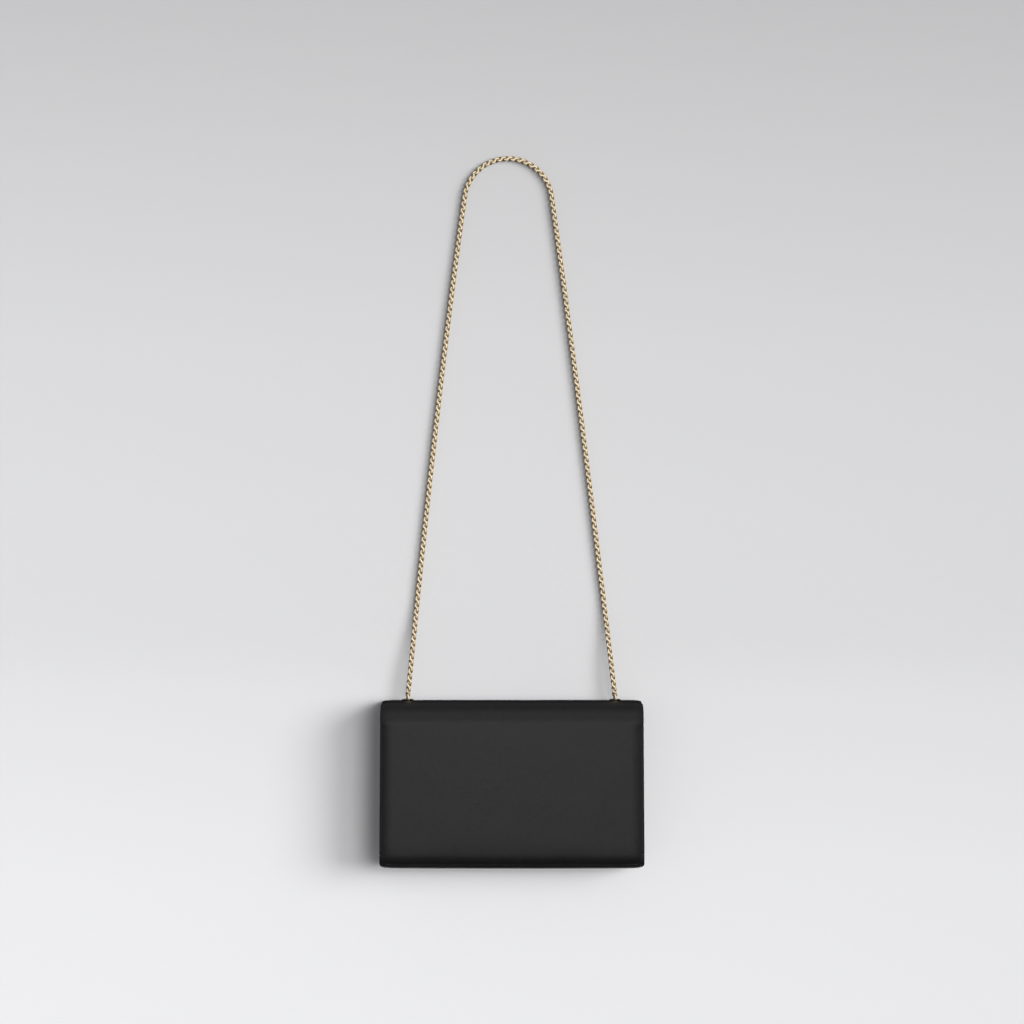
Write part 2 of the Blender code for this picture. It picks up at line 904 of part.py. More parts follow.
def make_slip_pocket(bag, cloth):
    """A patch pocket on the rear lining, open at its top."""
    rear = half_depth - wall - seat_gap
    inner_front = rear - pocket_depth
    outer_front = inner_front - pocket_wall
    low = pocket_rise - body_height
    high = low + pocket_height
    half = pocket_width / 2
    outer = box_points(-half, half, outer_front, rear, low, high)
    faces = box_faces()
    obj = solid("slip_pocket", outer, faces, cloth, bag)
    inner = box_points(
        -half + pocket_wall, half - pocket_wall, inner_front, rear + cut_overrun,
        low + pocket_wall, high + cut_overrun,
    )
    cut(obj, inner, faces, bag)


def box_points(low_x, high_x, low_y, high_y, low_z, high_z):
    return [
        Vector((x, y, z)) for z in (low_z, high_z) for y in (low_y, high_y)
        for x in (low_x, high_x)
    ]


def box_faces():
    return [(0, 2, 3, 1), (4, 5, 7, 6), (0, 1, 5, 4), (2, 6, 7, 3), (0, 4, 6, 2), (1, 3, 7, 5)]


def main():
    clear_scene()
    skin = leather()
    cloth = lining_cloth()
    stiff = stiff_sheet()
    gold = gold_plate()
    dark = dark_plate()
    steel = magnet_steel()
    bag = pivot_empty("bag_swing_axis", swing_pivot)
    flap = pivot_empty("flap_hinge_axis", flap_pivot, bag)
    make_back_panel(bag, skin)
    make_front_panel(bag, skin)
    make_base_panel(bag, skin)
    make_body_boards(bag, stiff)
    make_body_lining(bag, cloth)
    make_gussets(bag, skin, cloth)
    make_slip_pocket(bag, cloth)
    make_flap(flap, skin, stiff, cloth)
    make_magnets(bag, flap, steel)
    make_eyelets(bag, dark)
    make_outer_chain(gold)
    make_inner_chains(bag, gold)
    make_d_rings(bag, gold)
    make_chapes(bag, skin)
    make_rivets(bag, gold)


main()
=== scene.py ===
# %% [markdown]
# # A small leather bag on a curb chain
# This lesson dresses a imported CAD model of a structured shoulder bag: black pebbled
# leather over boards, a full flap, and a pale gold chain that runs through two eyelets.
# The imported model is the frame. Its bodies and joints stay as they are. Most pieces
# made here ride on the bag or the chain; the outer wrap and the lining of flap, roof and back ride on none.

# %% Load the frame
import math

import bmesh
import bpy
import numpy as np
from mathutils import Matrix, Vector


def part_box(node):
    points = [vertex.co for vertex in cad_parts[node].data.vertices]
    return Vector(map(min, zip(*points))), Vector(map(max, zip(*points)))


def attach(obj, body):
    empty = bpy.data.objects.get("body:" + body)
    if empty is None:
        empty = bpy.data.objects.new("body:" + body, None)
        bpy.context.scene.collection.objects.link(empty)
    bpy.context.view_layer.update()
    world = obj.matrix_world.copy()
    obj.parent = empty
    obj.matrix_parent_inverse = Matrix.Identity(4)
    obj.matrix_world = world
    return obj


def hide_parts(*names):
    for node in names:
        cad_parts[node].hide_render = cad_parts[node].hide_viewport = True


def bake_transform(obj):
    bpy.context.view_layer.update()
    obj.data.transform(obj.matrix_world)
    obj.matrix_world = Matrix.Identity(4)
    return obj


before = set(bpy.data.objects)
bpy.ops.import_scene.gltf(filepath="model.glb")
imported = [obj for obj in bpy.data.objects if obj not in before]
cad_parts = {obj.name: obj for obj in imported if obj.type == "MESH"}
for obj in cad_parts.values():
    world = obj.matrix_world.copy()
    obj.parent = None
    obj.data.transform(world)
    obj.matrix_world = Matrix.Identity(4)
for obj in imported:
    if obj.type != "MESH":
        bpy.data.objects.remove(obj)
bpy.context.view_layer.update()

# %% [markdown]
# ## Sizes
# The outer sizes are read from the boxes of the CAD nodes, so the dressed bag sits where
# the solids are. The walls' layers and radii are repeated here in metres. Places on the
# bag are written in the bag's own frame: x across, y from front to back and z up, from
# the middle of the crest where the flap folds over the top. The padded edges of the
# leather stand a little over a millimetre wider than the plain solids, as the photograph
# shows.

# %% Sizes read from the frame
back_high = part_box("back_panel")[1]
base_low, base_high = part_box("base_panel")
flap_low, flap_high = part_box("flap_leather")
edge_padding = 0.0013
half_width = (base_high.x - base_low.x) / 2 + edge_padding
flap_half = (flap_high.x - flap_low.x) / 2 + edge_padding
half_depth = (back_high.y - flap_low.y) / 2
body_height = back_high.z - base_low.z
crest = Vector(((base_low.x + base_high.x) / 2, (back_high.y + flap_low.y) / 2, back_high.z))
skin_middle = crest + Vector((0.0005, 0, 0))
print("bag", round(half_width * 2, 4), round(half_depth * 2, 4), round(body_height, 4))

# %% Sizes of the layers and the folds
top_taper = 0.001
outline_corner = 0.0035
bottom_radius = 0.014
rear_radius = 0.004
roll_depth = 0.020
hinge_y = 0.007
leather = 0.0013
lining_depth = 0.0031
lining_thickness = 0.0005
turned_edge = 0.0031
turn_margin = 0.009
wall = 0.0036
body_front_y = -half_depth + 0.004
corner_z = -body_height + bottom_radius
rear_corner_y = half_depth - bottom_radius
front_corner_y = body_front_y + bottom_radius
flap_corner_radius = bottom_radius + 0.004
flap_end_z = -body_height + 0.0026
eyelet_x = 0.0957
eyelet_from_back = 0.0095
eyelet_y = half_depth - eyelet_from_back
margin_softness = 0.0009
edge_crown = 0.0010
print("front wall at", round(body_front_y, 4), "flap ends at", round(flap_end_z, 4))

# %% [markdown]
# ## The camera
# The photograph looks straight at the bag from a distance, with almost no perspective.
# A lens of 114 mm, 3 m away, gives that view. The frame's width at the chain is known
# from the scale of the photograph, and the lens follows from it.

# %% The camera
view_distance = 3.0
frame_width = 0.9462
camera_x, camera_z = 0.0037, -0.3240
camera_data = bpy.data.cameras.new("photo_camera")
camera_data.sensor_width = 36
camera_data.lens = camera_data.sensor_width * view_distance / frame_width
camera = bpy.data.objects.new("photo_camera", camera_data)
camera.location = (camera_x, -view_distance, camera_z)
camera.rotation_euler = (math.radians(90), 0, 0)
bpy.context.scene.collection.objects.link(camera)
bpy.context.scene.camera = camera
print("lens", round(camera_data.lens, 1), "mm")

# %% [markdown]
# ## Building blocks for shaders
# Materials are made of nodes. A few small helpers place a node, do sums, map a range, mix
# two colours and open a node group with named sockets, so that each effect below reads as
# a short recipe.


# %% Helpers for nodes
def feed(tree, socket, value):
    """Links a socket to the one given, or sets its value."""
    if isinstance(value, bpy.types.NodeSocket):
        tree.links.new(value, socket)
    else:
        socket.default_value = value


def add(tree, kind, inputs=(), **settings):
    """A node with its settings, and its inputs either linked or set."""
    made = tree.nodes.new(kind)
    for key, value in settings.items():
        setattr(made, key, value)
    for key, value in dict(inputs).items():
        feed(tree, made.inputs[key], value)
    return made


def maths(tree, operation, *values, clamp=False):
    made = add(tree, "ShaderNodeMath", operation=operation, use_clamp=clamp)
    for socket, value in zip(made.inputs, values):
        feed(tree, socket, value)
    return made.outputs[0]


def plus(tree, first, second):
    return maths(tree, "ADD", first, second)


def minus(tree, first, second):
    return maths(tree, "SUBTRACT", first, second)


def times(tree, first, second, clamp=False):
    return maths(tree, "MULTIPLY", first, second, clamp=clamp)


def times_plus(tree, first, second, third, clamp=False):
    return maths(tree, "MULTIPLY_ADD", first, second, third, clamp=clamp)


def spread(tree, value, low, high, to_low=0.0, to_high=1.0):
    """Maps a value from one range to another, with a soft start and end."""
    return add(tree, "ShaderNodeMapRange", {
        "Value": value, "From Min": low, "From Max": high, "To Min": to_low, "To Max": to_high,
    }, interpolation_type="SMOOTHSTEP").outputs["Result"]


def noise(tree, place, scale, detail):
    return add(tree, "ShaderNodeTexNoise", {"Vector": place, "Scale": scale, "Detail": detail})


def object_place(tree):
    return add(tree, "ShaderNodeTexCoord").outputs["Object"]


def blend_colours(tree, factor, first, second):
    """The first colour where the factor is 0, and the second where it is 1."""
    made = add(tree, "ShaderNodeMix", data_type="RGBA")
    for key, value in ((0, factor), (6, first), (7, second)):
        feed(tree, made.inputs[key], (*value, 1) if isinstance(value, tuple) else value)
    return made.outputs[2]


def open_group(name, inputs, outputs):
    """A node group with named numbers. Returns it with its inner sockets."""
    group = bpy.data.node_groups.new(name, "ShaderNodeTree")
    for label, default in inputs:
        socket = group.interface.new_socket(name=label, in_out="INPUT", socket_type="NodeSocketFloat")
        socket.default_value = default
    for label in outputs:
        group.interface.new_socket(name=label, in_out="OUTPUT", socket_type="NodeSocketFloat")
    return group, group.nodes.new("NodeGroupInput").outputs, group.nodes.new("NodeGroupOutput").inputs


def use_group(tree, group, **inputs):
    return add(tree, "ShaderNodeGroup", inputs, node_tree=group)


def new_material(name):
    made = bpy.data.materials.new(name)
    made.use_nodes = True
    return made, made.node_tree, made.node_tree.nodes["Principled BSDF"]


def finish_surface(tree, shader, colour, roughness, height, depth, strength):
    """Joins a colour, a roughness and a relief to the material's shader."""
    bump = add(tree, "ShaderNodeBump", {"Height": height, "Distance": depth, "Strength": strength})
    feed(tree, shader.inputs["Base Color"], colour)
    feed(tree, shader.inputs["Roughness"], roughness)
    feed(tree, shader.inputs["Normal"], bump.outputs["Normal"])


print("node helpers ready")

# %% [markdown]
# ## Effects kept as node groups
# Leather is made of small pebbles with creases between them. A Voronoi texture gives the
# pebbles, and its distance to the nearest border gives the creases. The number of pebbles
# to a metre is an input. Object coordinates keep the pebbles the same size on every panel.


# %% Pebbled grain
wander_scale, wander_reach = 420.0, 0.0009
fine_scale, broad_scale = 5200.0, 160.0
crease_share, dome_share, fine_share, broad_share = 0.32, 0.35, 0.18, 2.0


def make_grain():
    group, given, result = open_group(
        "pebbled_grain", [("Pebbles", 1100.0), ("Unevenness", 0.35)], ("Height", "Crease", "Mottle"),
    )
    place = object_place(group)
    wander = noise(group, place, wander_scale, 2.0).outputs["Color"]
    shift = add(group, "ShaderNodeVectorMath", {0: wander, "Scale": wander_reach}, operation="SCALE")
    moved = add(group, "ShaderNodeVectorMath", {0: place, 1: shift.outputs[0]}, operation="ADD")
    pebbles = {"Vector": moved.outputs[0], "Scale": given["Pebbles"]}
    cells = add(group, "ShaderNodeTexVoronoi", pebbles, feature="DISTANCE_TO_EDGE")
    domes = add(group, "ShaderNodeTexVoronoi", pebbles, feature="F1")
    rise = spread(group, cells.outputs["Distance"], 0.0, crease_share)
    dome = minus(group, 1.0, domes.outputs["Distance"])
    fine = noise(group, place, fine_scale, 3.0).outputs["Fac"]
    broad = noise(group, place, broad_scale, 4.0).outputs["Fac"]
    height = times_plus(group, dome, dome_share, rise)
    height = times_plus(group, fine, fine_share, height)
    height = times_plus(group, times(group, broad, given["Unevenness"]), broad_share, height)
    feed(group, result["Height"], height)
    feed(group, result["Crease"], minus(group, 1.0, rise))
    feed(group, result["Mottle"], broad)
    return group


grain = make_grain()
print("grain group with", len(grain.nodes), "nodes")

# %% [markdown]
# Wear shows first where an edge stands out. Each panel made below carries an attribute
# named rim, 1 on its outermost edge and 0 inside. This group breaks that mask up with
# noise, so the wear comes in patches as it does in use.


# %% Wear along the rims
def make_wear():
    group, given, result = open_group("rim_wear", [("Amount", 0.5), ("Patches", 260.0)], ("Worn",))
    rim = add(group, "ShaderNodeAttribute", attribute_name="rim").outputs["Fac"]
    patches = noise(group, object_place(group), given["Patches"], 5.0).outputs["Fac"]
    broken = times(group, rim, spread(group, patches, 0.42, 0.68))
    feed(group, result["Worn"], times(group, broken, given["Amount"], clamp=True))
    return group


wear = make_wear()
print("wear group with", len(wear.nodes), "nodes")

# %% [markdown]
# The lining is a fine twill: each thread of the weft passes over two threads of the warp
# and then steps sideways, which gives slanting ribs. Two waves crossing at the thread
# pitch draw the threads and a third, at a slant, the ribs, on the piece's own UV map,
# which is in metres.


# %% Twill weave
thread_share, rib_share = 0.6, 0.7


def make_twill():
    group, given, result = open_group("twill_weave", [("Threads", 1900.0)], ("Height", "Gap", "Slub"))
    place = add(group, "ShaderNodeUVMap", uv_map="cloth").outputs["UV"]
    axes = add(group, "ShaderNodeSeparateXYZ", {0: place})
    across = times(group, axes.outputs["X"], given["Threads"])
    along = times(group, axes.outputs["Y"], given["Threads"])
    slant = times(group, plus(group, across, along), math.pi / 2)
    rib = times_plus(group, maths(group, "SINE", slant), 0.5, 0.5)
    warp, weft = (
        maths(group, "ABSOLUTE", maths(group, "SINE", times(group, count, math.pi)))
        for count in (across, along)
    )
    crossing = times(group, warp, weft)
    slub = noise(group, place, 240.0, 3.0).outputs["Fac"]
    feed(group, result["Height"], times_plus(group, crossing, thread_share, times(group, rib, rib_share)))
    feed(group, result["Gap"], minus(group, 1.0, crossing))
    feed(group, result["Slub"], slub)
    return group


twill = make_twill()
print("twill group with", len(twill.nodes), "nodes")

# %% [markdown]
# Plated metal is never quite even. Fine rub marks change its roughness, and its tone
# wanders a little. One group gives both masks to the gold, the bronze and the nickel.


# %% Rub marks on metal
def make_rub():
    group, given, result = open_group("rub_marks", [("Scale", 700.0)], ("Marks", "Tone"))
    place = object_place(group)
    stretch = add(group, "ShaderNodeMapping", {
        "Vector": place, "Rotation": (0.3, 0.5, 0.2), "Scale": (1.0, 1.0, 7.0),
    })
    marks = noise(group, stretch.outputs[0], given["Scale"], 4.0)
    feed(group, marks.inputs["Roughness"], 0.65)
    tone = noise(group, place, 190.0, 3.0)
    feed(group, result["Marks"], spread(group, marks.outputs["Fac"], 0.35, 0.7))
    feed(group, result["Tone"], spread(group, tone.outputs["Fac"], 0.35, 0.65))
    return group


rub = make_rub()
print("rub group with", len(rub.nodes), "nodes")

# %% [markdown]
# ## Materials
# The leather is nearly black. Its pebbles are a little glossy and its creases dull, and
# the creases are painted darker, a painted shade in the hollows of the grain. The broad tone
# wanders slightly, and the rims are a shade lighter where they rub. Colour, roughness and
# bump each take their share of the same grain, so they agree.


# %% Black leather
leather_dark, leather_light = (0.0048, 0.0048, 0.0050), (0.0074, 0.0074, 0.0076)
crease_shade, leather_worn = (0.003, 0.003, 0.0032), (0.016, 0.0155, 0.015)
leather_gloss = 0.28
pebbles_per_metre, grain_depth = 1150.0, 0.00010


def make_leather():
    made, tree, shader = new_material("pebbled_leather")
    pebble = use_group(tree, grain, Pebbles=pebbles_per_metre).outputs
    worn = use_group(tree, wear, Amount=0.5).outputs["Worn"]
    tone = blend_colours(tree, spread(tree, pebble["Mottle"], 0.3, 0.7), leather_dark, leather_light)
    # The creases are painted darker: painted shade between the pebbles.
    tone = blend_colours(tree, times(tree, pebble["Crease"], 0.55), tone, crease_shade)
    tone = blend_colours(tree, worn, tone, leather_worn)
    rough = times_plus(tree, pebble["Crease"], 0.12, leather_gloss)
    rough = times_plus(tree, pebble["Mottle"], 0.08, rough)
    finish_surface(tree, shader, tone, rough, pebble["Height"], grain_depth, 0.35)
    shader.inputs["Specular IOR Level"].default_value = 0.4
    return made


skin = make_leather()
print("leather ready")


# %% Lining, thread and boards
def make_lining():
    made, tree, shader = new_material("twill_lining")
    weave = use_group(tree, twill).outputs
    tone = blend_colours(tree, weave["Slub"], (0.030, 0.027, 0.025), (0.052, 0.047, 0.044))
    # The gaps between the threads are painted darker: painted shade.
    tone = blend_colours(tree, times(tree, weave["Gap"], 0.5), tone, (0.012, 0.011, 0.010))
    rough = times_plus(tree, weave["Gap"], 0.1, 0.68)
    finish_surface(tree, shader, tone, rough, weave["Height"], 0.00012, 0.7)
    shader.inputs["Sheen Weight"].default_value = 0.15
    return made


def make_thread():
    made, tree, shader = new_material("waxed_thread")
    twist = add(tree, "ShaderNodeTexWave", {
        "Vector": object_place(tree), "Scale": 900.0, "Distortion": 1.5,
    }, bands_direction="DIAGONAL").outputs["Fac"]
    # The crests of the twist are painted lighter than its grooves: a painted highlight and shade.
    tone = blend_colours(tree, twist, (0.010, 0.010, 0.011), (0.045, 0.044, 0.043))
    finish_surface(tree, shader, tone, times_plus(tree, twist, 0.15, 0.45), twist, 0.0001, 0.6)
    return made


def make_board():
    made, tree, shader = new_material("pressed_board")
    place = object_place(tree)
    stretch = add(tree, "ShaderNodeMapping", {"Vector": place, "Scale": (1.0, 1.0, 4.0)})
    fibre = noise(tree, stretch.outputs[0], 900.0, 6.0).outputs["Fac"]
    fleck = noise(tree, place, 350.0, 2.0).outputs["Fac"]
    tone = blend_colours(tree, fibre, (0.34, 0.33, 0.30), (0.62, 0.60, 0.56))
    tone = blend_colours(tree, spread(tree, fleck, 0.60, 0.72, 0.0, 0.6), tone, (0.20, 0.19, 0.17))
    finish_surface(tree, shader, tone, times_plus(tree, fibre, 0.1, 0.8), fibre, 0.0001, 0.5)
    return made


cloth = make_lining()
thread = make_thread()
board = make_board()
print("cloth, thread and board ready")

# %% [markdown]
# The gold of the chain is pale and bright. A full metal shows only what it mirrors, and
# in this plain room that left it too dark, so it is mixed with a paint of its own colour.
# The hollows between the links are darker, partly tarnish where a cloth can't reach and
# partly painted shade between the links: each link carries an attribute named hollow, 1 near
# the chain's middle plane and 0 on its faces.


# %% Plated metals
def make_metal(name, bright, deep, roughness, marks_depth, metallic=1.0, hollow_tarnish_and_shade=None):
    made, tree, shader = new_material(name)
    marks = use_group(tree, rub).outputs
    tone = blend_colours(tree, times(tree, marks["Tone"], 0.45), bright, deep)
    rough = times_plus(tree, marks["Marks"], 0.12, roughness)
    if hollow_tarnish_and_shade:
        # The hollows are darkened: partly tarnish, partly painted shade between the links.
        hollow = times(tree, add(tree, "ShaderNodeAttribute", attribute_name="hollow").outputs["Fac"], 0.9)
        tone = blend_colours(tree, hollow, tone, hollow_tarnish_and_shade)
        rough = times_plus(tree, hollow, 0.15, rough)
    finish_surface(tree, shader, tone, rough, marks["Marks"], marks_depth, 0.25)
    shader.inputs["Metallic"].default_value = metallic
    return made


gold = make_metal(
    "pale_gold", (0.97, 0.81, 0.56), (0.90, 0.74, 0.50), 0.22, 0.00002,
    metallic=0.55, hollow_tarnish_and_shade=(0.20, 0.135, 0.05),
)
bronze = make_metal("dark_bronze", (0.085, 0.068, 0.052), (0.045, 0.036, 0.028), 0.34, 0.00003)
nickel = make_metal("nickel_disc", (0.60, 0.60, 0.61), (0.46, 0.46, 0.47), 0.30, 0.00004)
print("metals ready")

# %% [markdown]
# ## Panels as padded shells
# A leather panel isn't a plate. The skin wraps a board, thins out and turns under at its
# edges, and stands a little proud in the middle. Every panel here is one closed shell,
# lofted along a route in the side view: the route gives a place and an outward
# direction at each step, and the shell is swept across the bag's width between two
# depths under that face. The rows and columns crowd together at the rim, where the two
# depths close on each other in a half circle.


# %% Routes in the side view
class Route:
    """A line in the side view with outward directions, sampled by its length."""

    def __init__(self, points):
        self.points = np.array(points, float)
        steps = np.linalg.norm(np.diff(self.points[:, :2], axis=0), axis=1)
        keep = np.concatenate([[True], steps > 1e-7])
        self.points = self.points[keep]
        steps = np.linalg.norm(np.diff(self.points[:, :2], axis=0), axis=1)
        self.lengths = np.concatenate([[0], np.cumsum(steps)])
        self.length = float(self.lengths[-1])

    def at(self, distance):
        y, z, out_y, out_z = (np.interp(distance, self.lengths, self.points[:, k]) for k in range(4))
        size = np.hypot(out_y, out_z)
        return y, z, out_y / size, out_z / size


def arc(centre_y, centre_z, radius, start, end, steps=16):
    angles = np.linspace(start, end, steps + 1)
    return [
        (centre_y + radius * math.cos(a), centre_z + radius * math.sin(a), math.cos(a), math.sin(a))
        for a in angles
    ]


rim_shares = (0, 0.08, 0.3, 0.62, 1)


def rows_for(length, spacing, rim_start, rim_end):
    """Distances along a route, crowded at the ends by the rims' radii."""
    start = [rim_start * s for s in rim_shares] if rim_start else [0]
    end = [length - rim_end * s for s in reversed(rim_shares)] if rim_end else [length]
    inner = np.linspace(start[-1], end[0], max(2, int((end[0] - start[-1]) / spacing) + 1))[1:-1]
    return np.array(start + list(inner) + end)


print("routes ready")


# %% The shell of a panel
def soft_step(value):
    value = np.clip(value, 0, 1)
    return value * value * (3 - 2 * value)


def mesh_object(name, verts, faces, material, rim=None, cloth_map=None):
    """A finished piece: doubles merged, faces outwards, smooth, in the row frame."""
    mesh = bpy.data.meshes.new(name)
    mesh.from_pydata([tuple(v) for v in verts], [], [tuple(f) for f in faces])
    if rim is not None:
        mesh.attributes.new("rim", "FLOAT", "POINT").data.foreach_set("value", np.asarray(rim, np.float32))
    if cloth_map is not None:
        layer = mesh.uv_layers.new(name="cloth")
        corners = np.zeros(len(mesh.loops), np.int32)
        mesh.loops.foreach_get("vertex_index", corners)
        layer.data.foreach_set("uv", np.asarray(cloth_map, np.float32)[corners].ravel())
    shell = bmesh.new()
    shell.from_mesh(mesh)
    bmesh.ops.remove_doubles(shell, verts=shell.verts, dist=2e-6)
    bmesh.ops.recalc_face_normals(shell, faces=shell.faces)
    shell.to_mesh(mesh)
    shell.free()
    mesh.shade_smooth()
    mesh.materials.append(material)
    obj = bpy.data.objects.new(name, mesh)
    bpy.context.scene.collection.objects.link(obj)
    return obj


def shell_faces(rows, columns):
    """The faces of two equal grids of points, joined all round their border."""
    index = np.arange(rows * columns).reshape(rows, columns)
    a, b = index[:-1, :-1].ravel(), index[:-1, 1:].ravel()
    c, d = index[1:, 1:].ravel(), index[1:, :-1].ravel()
    faces = [tuple(f) for f in np.stack([a, b, c, d], axis=1)]
    faces += [tuple(f) for f in np.stack([a, d, c, b], axis=1) + index.size]
    ring = list(index[0, :]) + list(index[1:, -1]) + list(index[-1, -2::-1]) + list(index[-2:0:-1, 0])
    for v, w in zip(ring, ring[1:] + ring[:1]):
        faces.append((v, v + index.size, w + index.size, w))
    return faces


crown_places = (0.0014, 0.0022, 0.0032, 0.0044, 0.0060, 0.0080, 0.0087, 0.0097, 0.0110)


def loft(name, route, half_at, depths, material, spacing=0.0022, rim=0.00065, rims=(1, 1), columns=0.005):
    """A closed shell along a route. depths gives its outer and inner depth at each point."""
    rows = rows_for(route.length, spacing, rim * rims[0], rim * rims[1])
    widest = float(np.max(half_at(rows)))
    crown_steps = np.array(crown_places)
    crown_steps = crown_steps[(crown_steps > rim * 1.2) & (crown_steps < widest * 0.8)]
    into = np.concatenate([np.array(rim_shares) * rim, crown_steps])
    middle = widest - into[-1]
    inner = np.linspace(-middle, middle, max(3, int(2 * middle / columns) + 1))[1:-1]
    across = np.concatenate([into - widest, inner, (widest - into)[::-1]]) / widest
    s, share = np.meshgrid(rows, across, indexing="ij")
    half = half_at(s)
    x = share * half
    side_gap = half - np.abs(x)
    end_gap = np.full_like(s, 1.0)
    if rims[0]:
        end_gap = np.minimum(end_gap, s)
    if rims[1]:
        end_gap = np.minimum(end_gap, route.length - s)
    edge = np.minimum(side_gap, end_gap)
    outer, inner_depth = depths(s, x, side_gap, end_gap)
    thickness = inner_depth - outer
    into_rim = np.clip(edge / rim, 0, 1)
    closing = (1 - np.sqrt(np.clip(1 - (1 - into_rim) ** 2, 0, 1))) * thickness / 2
    y, z, out_y, out_z = route.at(s)
    sheets = []
    for depth in (outer + closing, inner_depth - closing):
        sheets.append(np.stack([x, y - out_y * depth, z - out_z * depth], axis=-1))
    verts = np.concatenate([sheet.reshape(-1, 3) for sheet in sheets]) + np.array(skin_middle)
    rim_mask = np.clip(1 - edge / (rim * 3), 0, 1)
    return mesh_object(
        name, verts, shell_faces(*s.shape), material,
        rim=np.concatenate([rim_mask.ravel()] * 2),
        cloth_map=np.concatenate([np.stack([x.ravel(), s.ravel()], axis=1)] * 2),
    )


print("panel shells ready")

# %% [markdown]
# ## The outer wrap
# Back, roof and flap are one piece of leather on the real bag. It rises up the back,
# turns over the top and falls down the front. The roll over the top flattens early and
# ends in a soft crease, where the flap's board begins, so its side view is written by
# the direction it faces, from straight up to straight ahead, and then added up.


# %% The route of the wrap
def flap_front():
    """The flap's outer face from the crest down to its lower edge."""
    crease_angle, crease_length = math.radians(14), 0.005
    crease_depth = crease_length * (1 - math.cos(crease_angle)) / crease_angle
    turn = math.pi / 2 - crease_angle
    roll_length = (roll_depth - crease_depth) * turn / math.cos(crease_angle)
    y, z = -half_depth + roll_depth, 0.0
    points = []
    steps = 48
    bends = ((roll_length, math.pi / 2, crease_angle), (crease_length, crease_angle, 0.0))
    for length, start, end in bends:
        for k in range(steps):
            facing = start + (end - start) * (k + 0.5) / steps
            points.append((y, z, -math.cos(facing), math.sin(facing)))
            y -= math.sin(facing) * length / steps
            z -= math.cos(facing) * length / steps
    points.append((y, z, -1, 0))
    reach = math.asin((corner_z - flap_end_z) / flap_corner_radius)
    points += arc(front_corner_y, corner_z, flap_corner_radius, math.pi, math.pi + reach)
    return points


seam_gap = 0.00015
back_up = [(half_depth, corner_z + seam_gap, 1, 0)]
rear_turn = arc(half_depth - rear_radius, -rear_radius, rear_radius, 0, math.pi / 2)
wrap_route = Route(back_up + rear_turn + flap_front())
hinge_s = -corner_z - rear_radius + rear_radius * math.pi / 2 + half_depth - rear_radius - hinge_y
print("wrap length", round(wrap_route.length, 4), "hinge at", round(hinge_s, 4))


# %% The shape of the wrap
flap_step_z, flap_step_height = -0.0190, 0.004
top_corner_start, top_corner = 0.0003, 0.0015
fold_softness = 0.008
pillow_top, pillow_rise = 0.018, 0.0006
pillow_start, pillow_softness = 0.03, 0.02
flap_crown = 0.0008
end_crowns = ((0.0010, 0.006, 2.0), (0.0016, 0.026, 2.2))
roof_edge_thinner = 0.0006
wrap_unevenness, front_unevenness = 0.00007, 0.00006


def side_taper(z):
    return top_taper * (1 + z / body_height)


def corner_cut(gap, radius):
    """How much narrower a panel is this near a rounded corner's end."""
    into = np.clip(1 - gap / radius, 0, 1)
    return radius * (1 - np.sqrt(1 - into ** 2))


def on_flap(s):
    return soft_step((s - hinge_s + fold_softness / 2) / fold_softness)


def wrap_half(s):
    z = wrap_route.at(s)[1]
    narrow = soft_step((flap_step_z - z) / flap_step_height) * on_flap(s)
    half = half_width + (flap_half - half_width) * narrow - side_taper(z)
    half = half - corner_cut(wrap_route.length - s, outline_corner)
    return half - corner_cut(top_corner_start - z, top_corner)


def crown(gap, depth, band=0.011, power=2.3):
    """How far the padded face falls back towards an edge."""
    return depth * np.clip(1 - gap / band, 0, 1) ** power


def in_turned_margin(gap):
    """1 where the skin is turned under at an edge, and 0 further in."""
    return 1 - soft_step((gap - turn_margin) / margin_softness)


def unevenness(x, s, side_gap, end_gap, size):
    """Slow rise and fall of leather over a board, a tenth of a millimetre or so."""
    slow = np.sin(x * 61 + 1.3) * np.sin(s * 47 + 0.4)
    slow = slow + 0.6 * np.sin(x * 113 + s * 71 + 2.1) + 0.4 * np.sin(x * 37 - s * 151)
    inside = soft_step(side_gap / 0.02) * soft_step(end_gap / 0.02)
    return size * slow * inside


def wrap_depths(s, x, side_gap, end_gap):
    z = wrap_route.at(s)[1]
    flap = on_flap(s)
    down = np.clip((-z - pillow_top) / (-corner_z - pillow_top), 0, 1)
    pillow = pillow_rise * np.sin(math.pi * down) ** 0.8 * (1 - (x / half_width) ** 2)
    pillow = pillow * soft_step((s - hinge_s - pillow_start) / pillow_softness)
    outer = crown(side_gap, edge_crown + flap_crown * flap) - pillow
    outer = outer + unevenness(x, s, side_gap, end_gap, wrap_unevenness)
    end = wrap_route.length - s
    for depth, band, power in end_crowns:
        outer = outer + crown(end, depth, band, power)
    turned = np.where(flap > 0.5, turned_edge, turned_edge - roof_edge_thinner)
    in_margin = in_turned_margin(np.minimum(side_gap, np.where(flap > 0.5, end, 1.0)))
    return outer, leather + (turned - leather) * in_margin


wrap = loft("outer_wrap", wrap_route, wrap_half, wrap_depths, skin, rims=(0.6, 1))
print("outer_wrap", len(wrap.data.polygons), "faces")

# %% [markdown]
# The eyelets pass through the roof, so the leather and the lining need real holes there.
# A Boolean cut with a round bar is the plain way; the modifier's result is taken as a
# new mesh, and the cutter is deleted.


